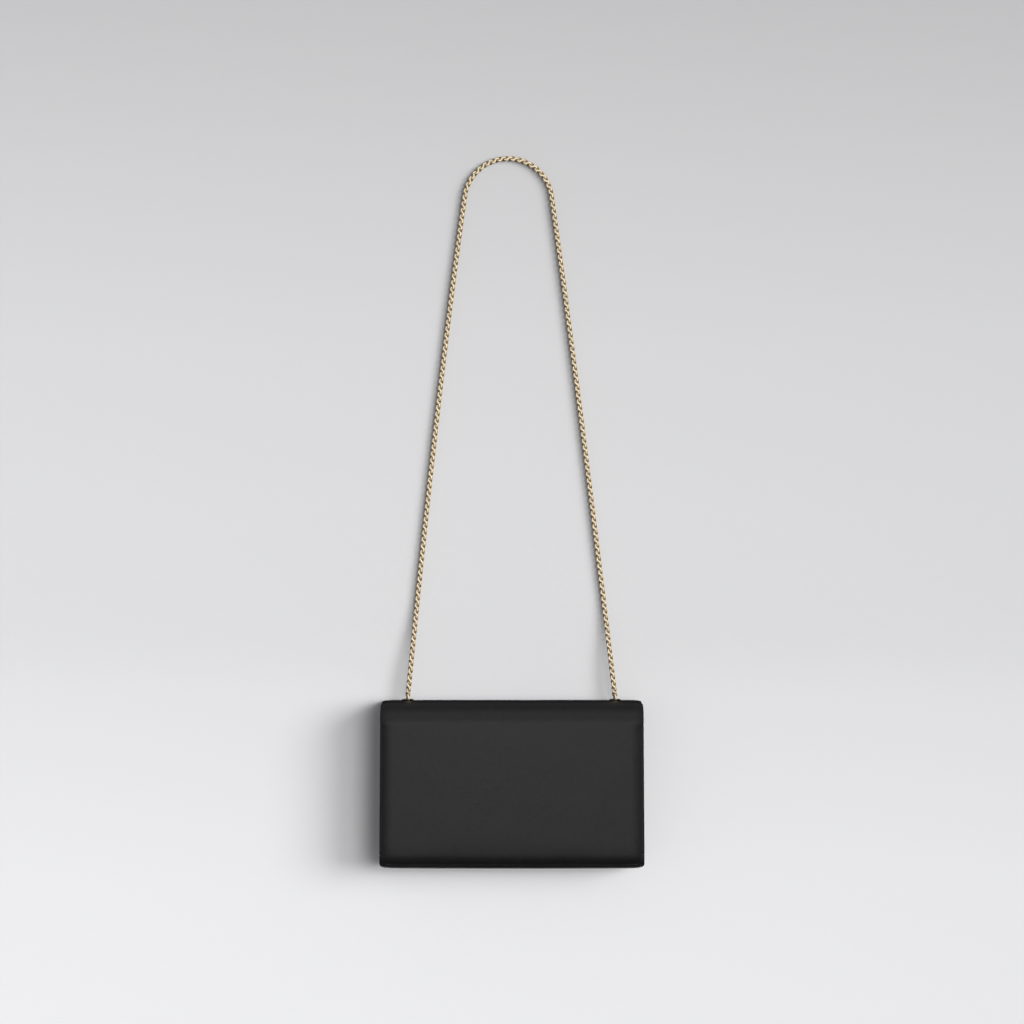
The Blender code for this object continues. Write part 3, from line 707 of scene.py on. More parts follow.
# %% Holes for the eyelets
def round_bar(radius, low, high, place, sides=40):
    bar = bmesh.new()
    turn = Matrix.Translation(Vector(place) + Vector((0, 0, (low + high) / 2)))
    bmesh.ops.create_cone(
        bar, cap_ends=True, segments=sides, radius1=radius, radius2=radius,
        depth=high - low, matrix=turn,
    )
    mesh = bpy.data.meshes.new("cutter")
    bar.to_mesh(mesh)
    bar.free()
    obj = bpy.data.objects.new("cutter", mesh)
    bpy.context.scene.collection.objects.link(obj)
    return obj


def take_result(obj):
    """Replaces a piece's mesh by what its modifiers make of it."""
    evaluated = obj.evaluated_get(bpy.context.evaluated_depsgraph_get())
    result = bpy.data.meshes.new_from_object(evaluated)
    obj.modifiers.clear()
    obj.data = result
    result.name = obj.name
    return obj


eyelet_hole = 0.0041
punch_low, punch_high = -0.008, 0.006


def punch(obj):
    """Cuts both eyelets' holes through a piece."""
    cutters = []
    for side in (-1, 1):
        place = crest + Vector((side * eyelet_x, eyelet_y, 0))
        cutter = round_bar(eyelet_hole, punch_low, punch_high, place)
        modifier = obj.modifiers.new("hole", "BOOLEAN")
        modifier.operation, modifier.solver, modifier.object = "DIFFERENCE", "EXACT", cutter
        cutters.append(cutter)
    bpy.context.view_layer.update()
    take_result(obj)
    for cutter in cutters:
        bpy.data.objects.remove(cutter, do_unlink=True)
    return obj


punch(wrap)
print("outer_wrap with holes", len(wrap.data.polygons), "faces")

# %% [markdown]
# The wrap's placement is baked into its mesh.


def bend_at_fold(obj):
    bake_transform(obj)


bend_at_fold(wrap)
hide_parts("back_panel", "flap_leather")

# %% [markdown]
# ## The front panel
# Under the flap, the front wall stops short of the roof, which leaves the mouth. Its top
# edge is turned: the skin goes over the board's top and down inside. The same loft makes
# it, because the route may turn over and come back down.

# %% Front panel with its turned top edge
front_top_z = -0.0192
hook_radius = wall / 2
hook_low_z = -0.0285
hook_inset, hook_thinner = 0.0035, 0.0007
margin_padding = 0.0012
panel_rim, covered_rim_share = 0.0006, 0.6
front_route = Route(
    [(body_front_y, corner_z + seam_gap, -1, 0)]
    + arc(body_front_y + hook_radius, front_top_z, hook_radius, math.pi, 0)
    + [(body_front_y + wall, hook_low_z, 1, 0)]
)
front_rise = front_top_z - corner_z
hook_turn = hook_radius * math.pi


def front_half(s):
    z = front_route.at(s)[1]
    over = soft_step((s - front_rise) / hook_turn)
    return half_width - side_taper(z) - hook_inset * over


def front_depths(s, x, side_gap, end_gap):
    over = soft_step((s - front_rise) / hook_turn)
    outer = crown(side_gap, edge_crown) * (1 - over)
    outer = outer + unevenness(x, s, side_gap, end_gap, front_unevenness) * (1 - over)
    padding = margin_padding * in_turned_margin(side_gap)
    return outer, leather + padding * (1 - over) - hook_thinner * over


front = loft(
    "front_panel_skin", front_route, front_half, front_depths, skin,
    rims=(covered_rim_share, 0.5), rim=panel_rim,
)
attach(front, "bag")
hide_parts("front_panel")
print("front_panel_skin", len(front.data.polygons), "faces")

# %% [markdown]
# ## The base
# The base joins the back to the front round two soft corners. Weight in the bag makes it
# sag a little in the middle, which the photograph shows as a bottom line that is lowest
# between the corners.

# %% Base panel with its sag
base_route = Route(
    arc(rear_corner_y, corner_z, bottom_radius, 0, -math.pi / 2)
    + arc(front_corner_y, corner_z, bottom_radius, -math.pi / 2, -math.pi)
)
base_sag, base_lift = 0.0005, 0.0004
under_softness = 0.016


def base_cut(z):
    """How much narrower the base is where the outline turns its lower corners."""
    below = np.clip(-z - (body_height - outline_corner), 0, outline_corner)
    return outline_corner - np.sqrt(outline_corner ** 2 - below ** 2)


def base_half(s):
    z = base_route.at(s)[1]
    return half_width - side_taper(z) - base_cut(z)


def base_depths(s, x, side_gap, end_gap):
    middle = 1 - np.clip(np.abs(x) / half_width, 0, 1) ** 2
    under = soft_step(end_gap / under_softness)
    outer = crown(side_gap, edge_crown) + (base_lift - base_sag * middle) * under
    return outer, leather + margin_padding * in_turned_margin(side_gap)


base = loft(
    "base_panel_skin", base_route, base_half, base_depths, skin,
    rims=(covered_rim_share, covered_rim_share), rim=panel_rim,
)
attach(base, "bag")
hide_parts("base_panel")
print("base_panel_skin", len(base.data.polygons), "faces")

# %% [markdown]
# ## The gussets
# A gusset closes each side. It folds inwards at mid-depth near the mouth, so the bag can
# open, and it bellies out a little lower down. Its borders turn outwards and lie against
# the panels, where the seam is. It is a grid of points with a thickness along its own
# normals, rather than a loft along the bag's width.


# %% A sheet with thickness along its own normals
def thick_sheet(name, grid, thickness, material, rim_gap, rim=0.0006, flip=False):
    """grid is rows by columns of points in the bag's frame; rim_gap the distance to its border."""
    down = np.gradient(grid, axis=0)
    along = np.gradient(grid, axis=1)
    normal = np.cross(down, along)
    normal /= np.maximum(np.linalg.norm(normal, axis=2, keepdims=True), 1e-12)
    if flip:
        normal = -normal
    into = np.clip(rim_gap / rim, 0, 1)
    half = np.asarray(thickness) / 2 * np.sqrt(np.clip(1 - (1 - into) ** 2, 0, 1))
    verts = np.concatenate([
        (grid + normal * half[..., None]).reshape(-1, 3),
        (grid - normal * half[..., None]).reshape(-1, 3),
    ]) + np.array(skin_middle)
    steps_down = np.concatenate([[0], np.cumsum(np.linalg.norm(np.diff(grid[:, 0], axis=0), axis=1))])
    steps_along = np.concatenate([[0], np.cumsum(np.linalg.norm(np.diff(grid[0], axis=0), axis=1))])
    cloth_map = np.stack(np.meshgrid(steps_along, steps_down), axis=-1).reshape(-1, 2)
    rim_mask = np.clip(1 - rim_gap / (rim * 3), 0, 1).ravel()
    return mesh_object(
        name, verts, shell_faces(*grid.shape[:2]), material,
        rim=np.concatenate([rim_mask] * 2), cloth_map=np.concatenate([cloth_map] * 2),
    )


print("thick_sheet ready")


# %% Gussets with fold and belly
gusset_front_z, gusset_rear_z = -0.021, -0.0085
gusset_x = half_width - top_taper - 0.0012
gusset_fold, gusset_fold_height = 0.009, 0.090
gusset_belly = 0.0006
gusset_flare, flare_reach = 0.0016, 0.0021
gusset_inset, gusset_lining_inset = 0.0032, 0.0042
gusset_head, gusset_head_padding = 0.006, 0.0005
near_shares = (0, 0.08, 0.3, 0.6, 1.0, 1.5, 2.1, 3.2)
head_shares = (0, 0.0005, 0.0018, 0.0040, 0.0065)


def wall_span(z, inset):
    """Where the inner faces of the front and rear walls stand at a height."""
    below = np.clip(corner_z - z, 0, None)
    radius = bottom_radius - inset
    reach = np.sqrt(np.clip(radius ** 2 - below ** 2, 0, None))
    return (
        np.where(below <= 0, body_front_y + inset, front_corner_y - reach),
        np.where(below <= 0, half_depth - inset, rear_corner_y + reach),
    )


def gusset_grid(side, inset, x_face, flare):
    """Rows run from the mouth down and round the bottom, columns from front to back."""
    floor = -body_height + inset
    near = np.array(near_shares) / 1000
    shares = np.linspace(0, 1, 33)[1:-1]
    downs = np.concatenate([head_shares, np.linspace(0.01, 1, 44)])
    turns = np.linspace(0, math.pi / 2, 15)[1:]
    rows, gaps = [], []
    for down, turn in [(d, 0) for d in downs] + [(1, t) for t in turns]:
        drop = (corner_z - floor) * math.sin(turn)
        middle_head = (gusset_front_z + gusset_rear_z) / 2
        z_middle = middle_head + (corner_z - middle_head) * down - drop
        low, high = wall_span(np.array(z_middle), inset)
        inner = low + near[-1] + (high - low - 2 * near[-1]) * shares
        y = np.concatenate([low + near, inner, (high - near)[::-1]])
        share = (y - low) / (high - low)
        head = gusset_front_z + (gusset_rear_z - gusset_front_z) * share
        z = head + (corner_z - head) * down - drop
        below = np.clip((head - z) / gusset_fold_height, 0, 1)
        fold = gusset_fold * (1 - below) ** 1.2
        middle = np.sqrt((2 * share - 1) ** 2 + 0.0064)
        fold = fold * np.clip(1.05 - middle, 0, 1) * soft_step(np.minimum(share, 1 - share) / 0.12)
        lower = np.clip((below - 0.4) / 0.6, 0, 1)
        belly = gusset_belly * np.sin(math.pi * lower) * np.sin(math.pi * share)
        gap = np.minimum(np.minimum(y - low, high - y), z - floor)
        reach = np.clip(1 - gap / flare_reach, 0, 1)
        out = flare * (1 - np.sqrt(1 - reach ** 2))
        x = side * (x_face - fold + belly + out)
        rows.append(np.stack([x, y, z], axis=-1))
        gaps.append(np.minimum(gap, head - z))
    return np.array(rows), np.array(gaps)


lining_rim = 0.00025
both_ends = ((-1, "left"), (1, "right"))
for side, name in both_ends:
    grid, gap = gusset_grid(side, gusset_inset, gusset_x - leather / 2, gusset_flare)
    head = np.clip(1 - (grid[:1, :, 2] - grid[:, :, 2]) / gusset_head, 0, 1)
    thickness = leather * 0.85 + gusset_head_padding * head ** 0.5
    made = thick_sheet(f"gusset_{name}_skin", grid, thickness, skin, gap)
    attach(made, "bag")
    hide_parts("gusset_" + name)
    grid, gap = gusset_grid(side, gusset_lining_inset, gusset_x - leather - 0.0006, 0)
    thickness = np.full(gap.shape, lining_thickness)
    made = thick_sheet(f"gusset_{name}_cloth", grid, thickness, cloth, gap, rim=lining_rim)
    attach(made, "bag")
    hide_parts("gusset_lining_" + name)
    print("gusset", name, grid.shape)

# %% [markdown]
# ## The linings
# The twill lining follows the inside of the leather. One piece lines the flap, the roof
# and the back. A second lines the base and the front wall and tucks in behind the front
# panel's turned edge.


# %% Lining of flap, roof and back
def sub_route(route, start, end):
    """The stretch of a route between two distances along it."""
    inside = (route.lengths > start) & (route.lengths < end)
    ends = [np.stack(route.at(np.array([d])), axis=-1) for d in (start, end)]
    return Route(np.concatenate([ends[0], route.points[inside], ends[1]]))


lining_start, lining_stop = 0.0004, wrap_route.length - 0.0022
lining_route = sub_route(wrap_route, lining_start, lining_stop)
lining_inset, lining_spacing = 0.0048, 0.0026
lining_corner = 0.002
ripple = 0.00010


def lining_half(s):
    flap = on_flap(s + lining_start)
    z = lining_route.at(s)[1]
    half = half_width - lining_inset + 0.0006 * flap - side_taper(z)
    return half - corner_cut(lining_route.length - s, lining_corner)


def lining_depths(s, x, side_gap, end_gap):
    outer = np.full_like(x, lining_depth)
    slack = ripple * np.sin(x * 210 + 3 * np.sin(s * 60))
    slack = slack * soft_step(side_gap / 0.01) * soft_step(end_gap / 0.01)
    bulk = 0.0002 * np.clip(1 - side_gap / 0.004, 0, 1)
    return outer, outer + lining_thickness + bulk + np.abs(slack)


lining = loft(
    "flap_and_back_lining", lining_route, lining_half, lining_depths, cloth,
    rim=lining_rim, spacing=lining_spacing,
)
punch(lining)
bend_at_fold(lining)
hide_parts("flap_lining")
print("flap_and_back_lining", len(lining.data.polygons), "faces")

# %% Lining of base and front
front_lining_top = -0.0268
lining_corner_z = corner_z - 0.0002
tuck_z, tuck_height = -0.0296, 0.0012
tuck_forward, tuck_thinner = 0.00026, 0.00036
base_lining_route = Route(
    arc(rear_corner_y, lining_corner_z, bottom_radius, 0, -math.pi / 2)
    + arc(front_corner_y, lining_corner_z, bottom_radius, -math.pi / 2, -math.pi)
    + [(body_front_y, front_lining_top, -1, 0)]
)


def base_lining_half(s):
    z = base_lining_route.at(s)[1]
    return half_width - lining_inset - side_taper(z) - base_cut(z)


def base_lining_depths(s, x, side_gap, end_gap):
    z = base_lining_route.at(s)[1]
    tuck = soft_step((z - tuck_z) / tuck_height) * (s > base_lining_route.length * 0.6)
    slack = ripple * np.abs(np.sin(x * 190 + 2 * np.sin(s * 50)))
    slack = slack * soft_step(end_gap / 0.02) * (1 - tuck)
    outer = lining_depth - tuck_forward * tuck
    return outer, outer + lining_thickness - tuck_thinner * tuck + slack


base_lining = loft(
    "base_and_front_lining", base_lining_route, base_lining_half, base_lining_depths, cloth,
    rim=lining_rim, spacing=lining_spacing,
)
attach(base_lining, "bag")
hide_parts("body_lining")
print("base_and_front_lining", len(base_lining.data.polygons), "faces")

# %% [markdown]
# A slip pocket is sewn to the back lining by its sides and bottom. Its hem is folded, so
# it is thicker, and its mouth stands open a little.


# %% Slip pocket
pocket_half, pocket_low, pocket_high = 0.060, -0.1377, -0.0597
pocket_stand, pocket_dip = 0.0048, 0.0012
hem_depth, hem_softness = 0.0115, 0.0008


def pocket_grid():
    height = pocket_high - pocket_low
    edge = np.array((0, 0.0003, 0.001, 0.002, 0.0035, 0.006, 0.009)) / pocket_half
    inner = np.linspace(edge[-1] - 1, 1 - edge[-1], 34)[1:-1]
    shares = np.concatenate([edge - 1, inner, (1 - edge)[::-1]])
    inner = np.linspace(0.003, height - 0.004, 26)
    downs = np.concatenate([[0, 0.0003, 0.0012], inner, [0.0755, 0.0772, height]])
    x, down = np.meshgrid(shares * pocket_half, downs)
    side_gap, bottom_gap = pocket_half - np.abs(x), height - down
    stand = soft_step(side_gap / 0.016) * soft_step(bottom_gap / 0.022)
    fold = 0.0004 * np.sin(x * 160) * soft_step(side_gap / 0.01) * soft_step(bottom_gap / 0.01)
    up = 1 - down / height
    y = half_depth - wall - 0.0006 - pocket_stand * stand * (0.75 + 0.25 * up) - fold
    z = pocket_high - down - pocket_dip * soft_step(side_gap / 0.03) * up
    hem = 1 - soft_step((down - hem_depth) / hem_softness)
    return np.stack([x, y, z], axis=-1), np.minimum(np.minimum(side_gap, bottom_gap), down), hem


grid, gap, hem = pocket_grid()
pocket = thick_sheet(
    "slip_pocket_cloth", grid, lining_thickness + lining_thickness * hem, cloth, gap, rim=0.0004,
)
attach(pocket, "bag")
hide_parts("slip_pocket")
print("slip_pocket_cloth", grid.shape)

# %% [markdown]
# The boards and magnets lie hidden between leather and lining. They stay as they are in
# the CAD model and only get their own materials.

# %% Boards and magnets
boards = ("back_board", "front_board", "base_board", "roof_stay", "flap_board")
magnets = ("body_magnet_left", "body_magnet_right", "flap_magnet_left", "flap_magnet_right")
for names, material in ((boards, board), (magnets, nickel)):
    for name in names:
        bpy.data.objects[name].data.materials.clear()
        bpy.data.objects[name].data.materials.append(material)
print("boards and magnets dressed")

# %% [markdown]
# ## The chain
# Every link of a curb chain is an oval of wire, twisted so that it lies against its
# neighbours, and cut flat on the chain's two faces. A node group makes one link from its
# two ends and their twists. Its front bar leans one way and its back bar the other, so
# the chain shows a row of slanting bars. A second group lays links along a path at an
# even pitch, with its own first and last link, so the outer chain and the short chains
# inside the bag come from the same tree. One modelled link copied by an Array modifier
# would do for the middle of the chain, but its ends have to hook into other things.


# %% Helpers for geometry nodes
def open_tree(name, inputs):
    """A geometry node group with named inputs and one geometry output."""
    tree = bpy.data.node_groups.new(name, "GeometryNodeTree")
    for label, kind, default in inputs:
        socket = tree.interface.new_socket(name=label, in_out="INPUT", socket_type="NodeSocket" + kind)
        if default is not None:
            socket.default_value = default
    tree.interface.new_socket(name="Geometry", in_out="OUTPUT", socket_type="NodeSocketGeometry")
    return tree, tree.nodes.new("NodeGroupInput").outputs, tree.nodes.new("NodeGroupOutput")


def end_tree(tree, placed, material, result):
    """Makes the instances real and smooth, and gives them their material."""
    whole = add(tree, "GeometryNodeRealizeInstances", {"Geometry": placed.outputs[0]}).outputs[0]
    smooth = add(tree, "GeometryNodeSetShadeSmooth", {"Geometry": whole}).outputs[0]
    dressed = add(tree, "GeometryNodeSetMaterial", {"Geometry": smooth, "Material": material}).outputs[0]
    tree.links.new(dressed, result.inputs[0])


def run_tree(name, tree, path_points, values):
    """Runs a tree on a path and returns the plain mesh it makes."""
    mesh = bpy.data.meshes.new(name)
    verts = [tuple(p) for path in path_points for p in path]
    edges, first = [], 0
    for path in path_points:
        edges += [(k, k + 1) for k in range(first, first + len(path) - 1)]
        first += len(path)
    mesh.from_pydata(verts, edges, [])
    obj = bpy.data.objects.new(name, mesh)
    bpy.context.scene.collection.objects.link(obj)
    modifier = obj.modifiers.new("nodes", "NODES")
    modifier.node_group = tree
    sockets = {item.name: item.identifier for item in tree.interface.items_tree if item.in_out == "INPUT"}
    for label, value in values.items():
        modifier[sockets[label]] = value
    obj.update_tag()
    bpy.context.view_layer.update()
    return take_result(obj)


print("tree helpers ready")


# %% One link
hollow_range = (0.0012, 0.0018)
end_turn_share = 1.35


def make_link_tree():
    tree, given, result = open_tree("curb_link", [
        ("Low", "Float", -0.0038), ("High", "Float", 0.0038), ("Width", "Float", 0.0035),
        ("Wire", "Float", 0.0015), ("Twist Low", "Float", 0.87), ("Twist High", "Float", -0.87),
        ("Lean", "Float", 0.0), ("Flat Cut", "Float", 0.0019),
        ("Path Steps", "Int", 14), ("Wire Sides", "Int", 6),
    ])
    circle = "GeometryNodeCurvePrimitiveCircle"
    oval = add(tree, circle, {"Resolution": given["Path Steps"], "Radius": 1.0})
    index = add(tree, "GeometryNodeInputIndex").outputs[0]
    angle = maths(tree, "DIVIDE", times(tree, index, 2 * math.pi), given["Path Steps"])
    cosine, sine = maths(tree, "COSINE", angle), maths(tree, "SINE", angle)
    # An oval along Z, of two rounded ends and two straight bars.
    radius = times(tree, given["Width"], 0.5)
    reach = times(tree, minus(tree, given["High"], given["Low"]), 0.5)
    middle = times(tree, plus(tree, given["High"], given["Low"]), 0.5)
    side = maths(tree, "MINIMUM", times(tree, cosine, end_turn_share), 1.0)
    side = maths(tree, "MAXIMUM", side, -1.0)
    along = times_plus(tree, cosine, radius, middle)
    along = times_plus(tree, side, minus(tree, reach, radius), along)
    across = times(tree, sine, radius)
    # The oval turns about Z, from the twist of its low end to that of its high end.
    share = maths(tree, "DIVIDE", minus(tree, along, given["Low"]), times(tree, reach, 2.0))
    turn = minus(tree, given["Twist High"], given["Twist Low"])
    twist = times_plus(tree, turn, share, given["Twist Low"])
    right = times(tree, across, maths(tree, "COSINE", twist))
    front = times(tree, times(tree, across, maths(tree, "SINE", twist)), -1.0)
    # The lean bends a bar to one side below its middle and to the other above it.
    lean = maths(tree, "SINE", times(tree, share, 2 * math.pi))
    lean = times(tree, lean, maths(tree, "DIVIDE", front, radius))
    right = times_plus(tree, lean, given["Lean"], right)
    place = add(tree, "ShaderNodeCombineXYZ", {0: right, 1: front, 2: along}).outputs[0]
    shaped = add(tree, "GeometryNodeSetPosition", {"Geometry": oval.outputs["Curve"], "Position": place})
    wire_radius = times(tree, given["Wire"], 0.5)
    section = add(tree, circle, {"Resolution": given["Wire Sides"], "Radius": wire_radius})
    wire = add(tree, "GeometryNodeCurveToMesh", {
        "Curve": shaped.outputs[0], "Profile Curve": section.outputs["Curve"],
    })
    # The hollow is marked near the middle plane, and both faces are cut flat.
    position = add(tree, "GeometryNodeInputPosition").outputs[0]
    spot = add(tree, "ShaderNodeSeparateXYZ", {0: position}).outputs
    hollow = spread(tree, maths(tree, "ABSOLUTE", spot["Y"]), *hollow_range, 1.0, 0.0)
    marked = add(tree, "GeometryNodeStoreNamedAttribute", {
        "Geometry": wire.outputs[0], "Name": "hollow", "Value": hollow,
    })
    cut = maths(tree, "MINIMUM", spot["Y"], given["Flat Cut"])
    cut = maths(tree, "MAXIMUM", cut, times(tree, given["Flat Cut"], -1.0))
    place = add(tree, "ShaderNodeCombineXYZ", {0: spot["X"], 1: cut, 2: spot["Z"]}).outputs[0]
    flat = add(tree, "GeometryNodeSetPosition", {"Geometry": marked.outputs[0], "Position": place})
    tree.links.new(flat.outputs[0], result.inputs[0])
    return tree


link_tree = make_link_tree()
print("link tree with", len(link_tree.nodes), "nodes")


# %% A chain of links on a path
link_parts = ("Low", "High", "Width", "Wire", "Twist Low", "Twist High", "Lean")


def make_chain_tree():
    ends = ("First", "Last")
    tree, given, result = open_tree("curb_chain", [
        ("Path", "Geometry", None), ("Links", "Int", 6), ("Pitch", "Float", 0.0061),
        ("Grip", "Float", 0.0008), ("Width", "Float", 0.0035), ("Wire", "Float", 0.0015),
        ("Twist", "Float", 0.87), ("Turn", "Float", 0.0), ("Lean", "Float", 0.0),
        ("Material", "Material", None),
    ] + [(f"{end} {part}", "Float", 0.0) for end in ends for part in link_parts])
    half = times(tree, given["Pitch"], 0.5)
    reach = plus(tree, half, given["Grip"])
    curve = add(tree, "GeometryNodeMeshToCurve", {"Mesh": given["Path"]}).outputs[0]
    length = add(tree, "GeometryNodeCurveLength", {"Curve": curve}).outputs[0]
    middle = add(tree, "GeometryNodeTrimCurve", {"Curve": curve}, mode="LENGTH")
    numbers = [socket for socket in middle.inputs if socket.type == "VALUE" and socket.enabled]
    feed(tree, numbers[-2], half)
    feed(tree, numbers[-1], minus(tree, length, half))
    points = add(tree, "GeometryNodeCurveToPoints", {
        "Curve": middle.outputs[0], "Count": given["Links"],
    }, mode="COUNT").outputs
    facing = add(tree, "FunctionNodeAlignRotationToVector", {
        "Vector": points["Tangent"],
    }, axis="Z", pivot_axis="Y")
    plain_low, plain_high = times(tree, reach, -1.0), reach
    low_twist = minus(tree, given["Turn"], given["Twist"])
    high_twist = plus(tree, given["Turn"], given["Twist"])
    plain = dict(zip(link_parts, (
        plain_low, plain_high, given["Width"], given["Wire"], low_twist, high_twist, given["Lean"],
    )))
    first, last = ({part: given[f"{end} {part}"] for part in link_parts} for end in ends)
    # The kind linked last comes first in the row of instances.
    kinds = add(tree, "GeometryNodeGeometryToInstance")
    for settings in (last, plain, first):
        one = add(tree, "GeometryNodeGroup", settings, node_tree=link_tree)
        tree.links.new(one.outputs[0], kinds.inputs[0])
    index = add(tree, "GeometryNodeInputIndex").outputs[0]
    last_index = minus(tree, given["Links"], 1.0)
    after_first = maths(tree, "GREATER_THAN", index, 0.5)
    at_last = maths(tree, "GREATER_THAN", index, minus(tree, last_index, 0.5))
    placed = add(tree, "GeometryNodeInstanceOnPoints", {
        "Points": points["Points"], "Instance": kinds.outputs[0], "Rotation": facing.outputs[0],
        "Pick Instance": True, "Instance Index": plus(tree, after_first, at_last),
    })
    end_tree(tree, placed, given["Material"], result)
    return tree


chain_tree = make_chain_tree()
print("chain tree with", len(chain_tree.nodes), "nodes")

# %% [markdown]
# The outer chain's path is an arc over the peg and two long sides that bow outwards a
# little before they drop to the eyelets, as the photograph shows. It hangs in one plane.

# %% The outer chain
wire = 0.0015
link_wire = 0.0025
link_width = 0.0048
grip = wire / 2 + 0.00005
link_reach = 0.0011
link_twist = math.radians(62)
link_turn = math.radians(90)
link_lean = -0.0013
end_wire = 0.0019
end_width = 0.0034
link_count = 171
peg_radius = 0.0405
peg_angle = math.radians(82)
arc_top = 0.0025
foot_z = crest.z + 0.0039


def chain_side(side, lean, steps=220):
    """One long side from its eyelet up to the arc, as a cubic curve."""
    arc_drop = peg_radius * (1 - math.cos(peg_angle))
    high = Vector((side * peg_radius * math.sin(peg_angle), 0, arc_top - arc_drop))
    low = Vector((crest.x + side * eyelet_x, 0, foot_z))
    reach = (high.z - low.z) * 0.33
    high_pull = high - reach * Vector((-side * math.cos(peg_angle), 0, math.sin(peg_angle)))
    low_pull = low + reach * Vector((-side * math.sin(lean), 0, math.cos(lean)))
    points = []
    for k in range(steps + 1):
        t = k / steps
        points.append(
            low * (1 - t) ** 3 + low_pull * 3 * t * (1 - t) ** 2
            + high_pull * 3 * t ** 2 * (1 - t) + high * t ** 3
        )
    return points


def chain_arc(steps=80):
    centre = arc_top - peg_radius
    angles = [-peg_angle + 2 * peg_angle * k / steps for k in range(steps + 1)]
    return [Vector((peg_radius * math.sin(a), 0, centre + peg_radius * math.cos(a))) for a in angles]


def end_link(end, *sizes):
    """The values of a chain's first or last link, in the order of link_parts.

    Without a last value the link has no lean.
    """
    return {f"{end} {part}": size for part, size in zip(link_parts, sizes)}


left_lean, right_lean = math.radians(5.6), math.radians(6.8)
left_side = chain_side(-1, left_lean)
right_side = chain_side(1, right_lean)
loop_path = left_side[:-1] + chain_arc() + right_side[::-1][1:]
loop_length = sum((b - a).length for a, b in zip(loop_path, loop_path[1:]))
pitch = loop_length / link_count
twist_low, twist_high = link_turn - link_twist, link_turn + link_twist
plain_links = {
    "Grip": link_reach, "Width": link_width - link_wire, "Wire": link_wire,
    "Twist": link_twist, "Turn": link_turn, "Lean": link_lean, "Material": gold,
}
chain = run_tree("curb_chain", chain_tree, [loop_path], {
    **plain_links, "Links": link_count, "Pitch": pitch,
    **end_link("First", -pitch / 2, pitch / 2 + grip, end_width, end_wire, 0.0, twist_high, link_lean),
    **end_link("Last", -pitch / 2 - grip, pitch / 2, end_width, end_wire, twist_low, math.pi, link_lean),
})
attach(chain, "chain")
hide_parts("chain_left_run", "chain_arc", "chain_right_run")
print("loop", round(loop_length, 4), "m, pitch", round(pitch * 1000, 3), "mm")
print("curb_chain", len(chain.data.polygons), "faces")

# %% [markdown]
# Inside the bag each end of the chain goes on through its eyelet: a swivel link, four
# curb links and an end link that holds the D-ring. The path runs upwards, so the first
# link is the lowest one.

# %% The inner chains
inner_pitch = 0.0061
inner_links = 4
pivot_height = 0.0039
hook_room = 0.00045
swivel_reach = wire + hook_room
ring_wire = 0.0020
end_reach = ring_wire / 2 + wire / 2 + hook_room
half_pitch = inner_pitch / 2
for side, name in both_ends:
    top = crest + Vector((side * eyelet_x, eyelet_y, pivot_height))
    count = inner_links + 2
    path = [top - Vector((0, 0, inner_pitch * count * (1 - k / 12))) for k in range(13)]
    ring_twists = math.radians(-90), math.radians(-95)
    swivel_shape = 2 * swivel_reach, end_wire, twist_low, math.radians(90)
    made = run_tree(f"inner_chain_{name}_links", chain_tree, [path], {
        **plain_links, "Links": count, "Pitch": inner_pitch,
        **end_link("First", -half_pitch - end_reach, half_pitch + grip, 2 * end_reach, wire, *ring_twists),
        **end_link("Last", -half_pitch - grip, half_pitch + swivel_reach, *swivel_shape),
    })
    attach(made, "bag")
    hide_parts("inner_chain_" + name)
    print("inner chain", name, len(made.data.polygons), "faces")

# %% [markdown]
# ## Eyelets, rings and tabs
# Round parts are turned from a profile. The eyelet is one tube with a rolled flange on
# top, and a washer below; the tube's lower end is spread over the washer to hold it.


# %% Turned parts
def tube_faces(rings, sides):
    """Faces between neighbouring rings of points, the last ring joined to the first."""
    faces = []
    for i in range(rings):
        j = (i + 1) % rings
        for k in range(sides):
            m = (k + 1) % sides
            faces.append((i * sides + k, i * sides + m, j * sides + m, j * sides + k))
    return faces


def turned(name, profile, place, material, axis="Z", sides=40):
    """A closed part turned from a closed profile of (radius, height)."""
    angles = np.linspace(0, 2 * math.pi, sides, endpoint=False)
    radius, height = np.array(profile).T
    ring_x = radius[:, None] * np.cos(angles)
    ring_y = radius[:, None] * np.sin(angles)
    ring_z = np.repeat(height[:, None], sides, axis=1)
    order = (ring_x, ring_y, ring_z) if axis == "Z" else (ring_x, ring_z, ring_y)
    verts = np.stack(order, axis=-1).reshape(-1, 3) + np.array(Vector(place) + crest)
    return mesh_object(name, verts, tube_faces(len(profile), sides), material)


def rounded(points, radius, steps=4):
    """A closed profile with its corners rounded."""
    result = []
    for k, corner in enumerate(points):
        around = (points[k - 1], corner, points[(k + 1) % len(points)])
        before, here, after = (Vector(point) for point in around)
        r = min(radius, (before - here).length * 0.45, (after - here).length * 0.45)
        start, end = here + (before - here).normalized() * r, here + (after - here).normalized() * r
        for i in range(steps + 1):
            t = i / steps
            result.append(tuple(start * (1 - t) ** 2 + here * 2 * t * (1 - t) + end * t ** 2))
    return result


